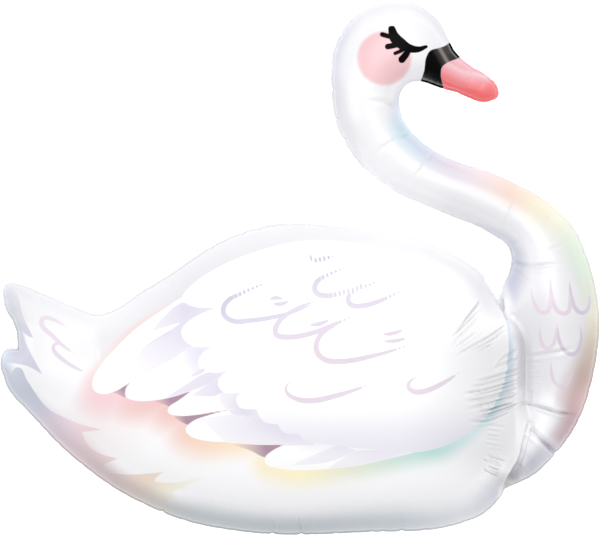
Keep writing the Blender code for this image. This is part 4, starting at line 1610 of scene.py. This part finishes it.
class SwanShape(PropertyGroup):
    """Sizes of the films and their welds."""

    weld_width: length("Rim weld", "Width of the flat weld round the rim", 2.4, 2, 10)
    inner_weld_width: length("Inner weld", "Width of the weld between the neck and the body", 2.6, 2, 15)
    weld_thickness: length("Weld thickness", "Thickness of the two films at a weld", 0.8, 0.2, 1.2)
    weld_margin: length("Weld margin", "How far a weld reaches under the films", 1.6, 0.2, 3)
    film_gap: length("Film gap", "Distance between the two films at a weld", 0.1, 0.1, 1)
    rim_step: length("Rim step", "Distance between the films' coarse points along the rim", 8, 6, 20)
    field_step: length("Film step", "Distance between the films' coarse points", 9.4, 8, 25)
    fold_step: length("Fold step", "Distance between the coarse points near the inner weld", 4.6, 4, 20)
    fullness: length("Fullness", "Greatest half thickness of the filled balloon", 172, 60, 300)
    valley_depth: amount(
        "Inner valley", "How much the films sink beside the inner weld, as a share of their height",
        0.25, high=0.95, subtype="FACTOR",
    )
    fold_depth: amount(
        "Inner fold", "How deep the folds from the inner weld's ends are, as a share of the film's height",
        0.4, high=0.8, subtype="FACTOR",
    )


class SwanFolds(PropertyGroup):
    """Depths of the puckers, creases and crimps."""

    pucker_depth: length("Pucker depth", "Depth of the puckers that run in from the rim", 1.2, 0, 4)
    crease_depth: amount("Crease depth", "Depth of the creases and ruffles against their usual depth", 1.0)
    closing: amount(
        "Closing", "How far the two chambers close over the inner weld", 0.4, high=0.98, subtype="FACTOR"
    )
    drawn_in: length("Drawn in", "How far the rim is drawn in at a pucker", 1.2, 0, 4)
    wave: length("Rim wave", "Height of the rim's waves", 0.9, 0, 3)
    crimp_height: length("Crimp height", "Height of the crimps across a weld", 0.7, 0, 2)
    crimp_length: length("Crimp length", "Distance between the crimps across a weld", 5, 2, 20)
    dents: amount("Dents", "Depth of the film's soft dents, in millimetres", 0.12, high=1)
    streaks: amount("Streaks", "Depth of the fine streaks beside the rim, in millimetres", 0.25, high=1)


class SwanInks(PropertyGroup):
    """Colours and gloss of the foil and its print, and the grey of its painted shade."""

    pearl: paint("Pearl", "Bare pearl film", 242, 242, 245)
    # Painted shade: this grey is multiplied into the print over the neck, breast and body, in creases and
    # beside the inner weld.
    shade: paint("Shade", "Grey that shades the neck and the inner weld", 205, 205, 208)
    feather: paint("Feather", "White of the wing's feathers", 253, 253, 254)
    lilac: paint("Lilac", "Shade between the feathers", 221, 216, 231)
    stroke_lilac: paint("Lilac strokes", "Brush strokes at the back of the wing", 203, 202, 217)
    stroke_pink: paint("Pink strokes", "Brush strokes at the front of the wing", 216, 204, 217)
    blush: paint("Blush", "Round blush on the cheek", 240, 198, 202)
    bill: paint("Bill", "Lower side of the bill", 255, 112, 113)
    black: paint("Black", "Eye and the mask round the bill's root", 8, 7, 7)
    roughness: amount("Roughness", "Roughness of the film", 0.34, 0.1, 0.8, "FACTOR")
    metal: amount("Metal", "Share of metal in the film's shine", 0.15, 0, 1, "FACTOR")


class SwanStage(PropertyGroup):
    """The floor, the lights and the camera."""

    floor_size: FloatProperty(
        name="Floor", description="Width of the floor", default=14.0, min=2, max=40, unit="LENGTH"
    )
    floor_colour: paint("Floor colour", "Colour of the plain floor", 250, 250, 251)
    glow: amount("Floor glow", "Light of the floor itself, as of a lit table", 0.6)
    bounce: amount(
        "Bounce", "Share of the floor's own light that falls on the swan", 0.4, high=1, subtype="FACTOR"
    )
    sky: amount("Sky", "Strength of the even light from all round", 0.92)
    key: FloatProperty(
        name="Key light", description="Power of the large soft light", default=17.0, min=0, unit="POWER"
    )
    camera_height: FloatProperty(
        name="Camera", description="Height of the camera", default=30.0, min=1, unit="LENGTH"
    )


def plan_key(shape):
    """The settings that a film's plan depends on."""
    return (
        shape.weld_width, shape.inner_weld_width, shape.rim_step, shape.field_step, shape.fold_step,
        shape.fullness, shape.fold_depth, shape.valley_depth,
    )


def foil(scene):
    """The printed foil's material, made from the scene's settings when it is first asked for."""
    folds = scene.swan_folds
    return bpy.data.materials.get(FOIL) or foil_material(
        FOIL, plan_key(scene.swan_shape), scene.swan_inks, folds.dents, folds.streaks
    )


# ----- Operators -----

# The floor lies this far below the swan.
FLOOR_DROP = 0.5 * MM
# The sky is brightest this way.
SKY_WAY = (-0.1, 0.55, 0.83)
# Each soft light's name, its place and width in metres, and its share of the key light's power.  The lights
# face LIT_PLACE.
LIGHTS = (("key_light", (0.2, 0.9, 2.8), 2.4, 1.0), ("fill_light", (-1.9, 0.2, 2.2), 1.6, 0.2))
LIT_PLACE = (0, -0.05, 0.1)
# The picture is this many steps wide, and the swan is one step narrower.
PICTURE_STEPS = 600


def add_weld(scene, name, line, side, closed, width, seed, fields):
    """The piece of a weld band along a line, given its outward direction, width and fields of the print."""
    folds = scene.swan_folds
    mesh = band_mesh(line, side, closed, fields, {
        "Width": width, "Thickness": scene.swan_shape.weld_thickness, "Crimp Height": folds.crimp_height,
        "Crimp Length": folds.crimp_length, "Seed": seed, "Material": foil(scene),
    })
    add_piece(name, mesh, foil(scene))


class SWAN_OT_films(Operator):
    """Build the upper and lower films with their folds and their print"""

    bl_idname = "swan.films"
    bl_label = "Films"

    def execute(self, context):
        scene = context.scene
        shape = scene.swan_shape
        key = plan_key(shape)
        for name, side in (("upper_film", 1), ("lower_film", -1)):
            mesh = film_mesh(key, scene.swan_folds, side, shape.film_gap)
            add_piece(name, mesh, foil(scene))
        return {"FINISHED"}


class SWAN_OT_rim_weld(Operator):
    """Build the crimped weld that joins the two films round their rim"""

    bl_idname = "swan.rim_weld"
    bl_label = "Rim weld"

    def execute(self, context):
        scene = context.scene
        shape = scene.swan_shape
        folds = scene.swan_folds
        key = plan_key(shape)
        plan = film_plan(*key)
        rim = welded_rim(key)
        inner = plan.weld - rim.outward * shape.weld_margin
        middle = (plan.rim + inner) / 2
        move = rim_move(rim, rim.run, folds.drawn_in, folds.wave)
        line = np.column_stack((middle, np.full(len(middle), plan.level))) + move
        fields = print_fields(plan.weld, np.zeros(len(middle)), rim.run / rim.length)
        width = shape.weld_width + shape.weld_margin
        side = (plan.rim - inner) / width
        add_weld(scene, "rim_weld", line, side, True, width, float(SEED), fields)
        return {"FINISHED"}


class SWAN_OT_inner_weld(Operator):
    """Build the weld that parts the neck from the body inside the rim"""

    bl_idname = "swan.inner_weld"
    bl_label = "Inner weld"

    def execute(self, context):
        scene = context.scene
        shape = scene.swan_shape
        key = plan_key(shape)
        plan = film_plan(*key)
        middle = respaced(plan.seal_line, 2 * MM)
        along = unit(np.gradient(middle, axis=0))
        share = np.linspace(-1, 1, len(middle))[:, None]
        side = np.column_stack((-along[:, 1], along[:, 0])) * np.sqrt(1 - 0.9 * share**8)
        rim_gap, run = rim_place(middle, plan.weld)
        fields = print_fields(middle, rim_gap, run / welded_rim(key).length)
        line = np.column_stack((middle, np.full(len(middle), plan.level)))
        width = shape.inner_weld_width + 2 * shape.weld_margin
        add_weld(scene, "inner_weld", line, side, False, width, SEED + 0.5, fields)
        return {"FINISHED"}


class SWAN_OT_stage(Operator):
    """Build the floor, the soft lights and the camera over the swan"""

    bl_idname = "swan.stage"
    bl_label = "Stage"

    def execute(self, context):
        scene = context.scene
        stage = scene.swan_stage
        half = stage.floor_size / 2
        corners = [(-half, -half), (half, -half), (half, half), (-half, half)]
        mesh = bpy.data.meshes.new("floor")
        mesh.from_pydata([(*corner, -FLOOR_DROP) for corner in corners], [], [(0, 1, 2, 3)])
        material = bpy.data.materials.new("floor_paint")
        material.use_nodes = True
        tree = material.node_tree
        mottle = noise(tree, object_place(tree), 3.0, 3.0)
        colour = tuple(stage.floor_colour)
        paler = blend(tree, mottle, opaque(colour), opaque(value * 0.98 for value in colour))
        shader = tree.nodes["Principled BSDF"]
        tree.links.new(paler, shader.inputs["Base Color"])
        seen = add(tree, "ShaderNodeLightPath").outputs["Is Camera Ray"]
        share = sums(tree, "MAXIMUM", seen, stage.bounce)
        tree.links.new(blend(tree, share, (0, 0, 0, 1), (1, 1, 1, 1)), shader.inputs["Emission Color"])
        shader.inputs["Roughness"].default_value = 0.9
        shader.inputs["Specular IOR Level"].default_value = 0.1
        shader.inputs["Emission Strength"].default_value = stage.glow
        mesh.materials.append(material)
        floor = bpy.data.objects.new("floor", mesh)
        scene.collection.objects.link(floor)

        scene.world = bpy.data.worlds.new("studio")
        scene.world.use_nodes = True
        tree = scene.world.node_tree
        sky = tree.nodes["Background"]
        way = add(tree, "ShaderNodeTexCoord").outputs["Generated"]
        ahead = dot(tree, way, SKY_WAY)
        strength = span(tree, ahead, -0.6, 0.5, stage.sky * 0.5, stage.sky, "LINEAR")
        sky.inputs["Color"].default_value = (1, 1, 1, 1)
        tree.links.new(strength, sky.inputs["Strength"])
        for name, place, size, share in LIGHTS:
            lamp = bpy.data.lights.new(name, "AREA")
            lamp.shape = "DISK"
            lamp.size = size
            lamp.energy = stage.key * share
            light = bpy.data.objects.new(name, lamp)
            light.location = place
            light.rotation_euler = (Vector(LIT_PLACE) - Vector(place)).to_track_quat("-Z", "Y").to_euler()
            scene.collection.objects.link(light)

        low, high = (Vector(corner) for corner in CAD_BOX)
        lens = bpy.data.cameras.new("camera")
        camera = bpy.data.objects.new("camera", lens)
        camera.location = ((low.x + high.x) / 2, (low.y + high.y) / 2, stage.camera_height)
        level = cad_lines()[2]
        view_width = (high.x - low.x) * PICTURE_STEPS / (PICTURE_STEPS - 1)
        lens.sensor_width = 36
        lens.lens = lens.sensor_width * (stage.camera_height - level) / view_width
        lens.clip_end = 100
        scene.collection.objects.link(camera)
        scene.camera = camera
        scene.view_settings.view_transform = "Standard"
        return {"FINISHED"}


class SWAN_PT_panel(Panel):
    """Settings and pieces of the swan balloon"""

    bl_idname = "SWAN_PT_panel"
    bl_label = "Swan balloon"
    bl_space_type = "VIEW_3D"
    bl_region_type = "UI"
    bl_category = "Swan balloon"

    def draw(self, context):
        for name, (_, title) in GROUPS.items():
            box = self.layout.box()
            box.label(text=title)
            settings = getattr(context.scene, name)
            for key in settings.__annotations__:
                box.prop(settings, key)
        for operator in OPERATORS:
            self.layout.operator(operator.bl_idname)


GROUPS = {
    "swan_shape": (SwanShape, "Shape"),
    "swan_folds": (SwanFolds, "Folds"),
    "swan_inks": (SwanInks, "Inks"),
    "swan_stage": (SwanStage, "Stage"),
}
OPERATORS = (SWAN_OT_films, SWAN_OT_rim_weld, SWAN_OT_inner_weld, SWAN_OT_stage)


def register():
    """Register the settings, the operators and the panel."""
    for group, _ in GROUPS.values():
        bpy.utils.register_class(group)
    for name, (group, _) in GROUPS.items():
        setattr(bpy.types.Scene, name, PointerProperty(type=group))
    for kind in (*OPERATORS, SWAN_PT_panel):
        bpy.utils.register_class(kind)


def unregister():
    """Remove the panel, the operators and the settings."""
    for kind in (SWAN_PT_panel, *reversed(OPERATORS)):
        bpy.utils.unregister_class(kind)
    for name, (group, _) in GROUPS.items():
        delattr(bpy.types.Scene, name)
        bpy.utils.unregister_class(group)


def main():
    """Build the swan and its stage."""
    register()
    bpy.ops.swan.films()
    bpy.ops.swan.rim_weld()
    bpy.ops.swan.inner_weld()
    bpy.ops.swan.stage()


if __name__ == "__main__":
    main()
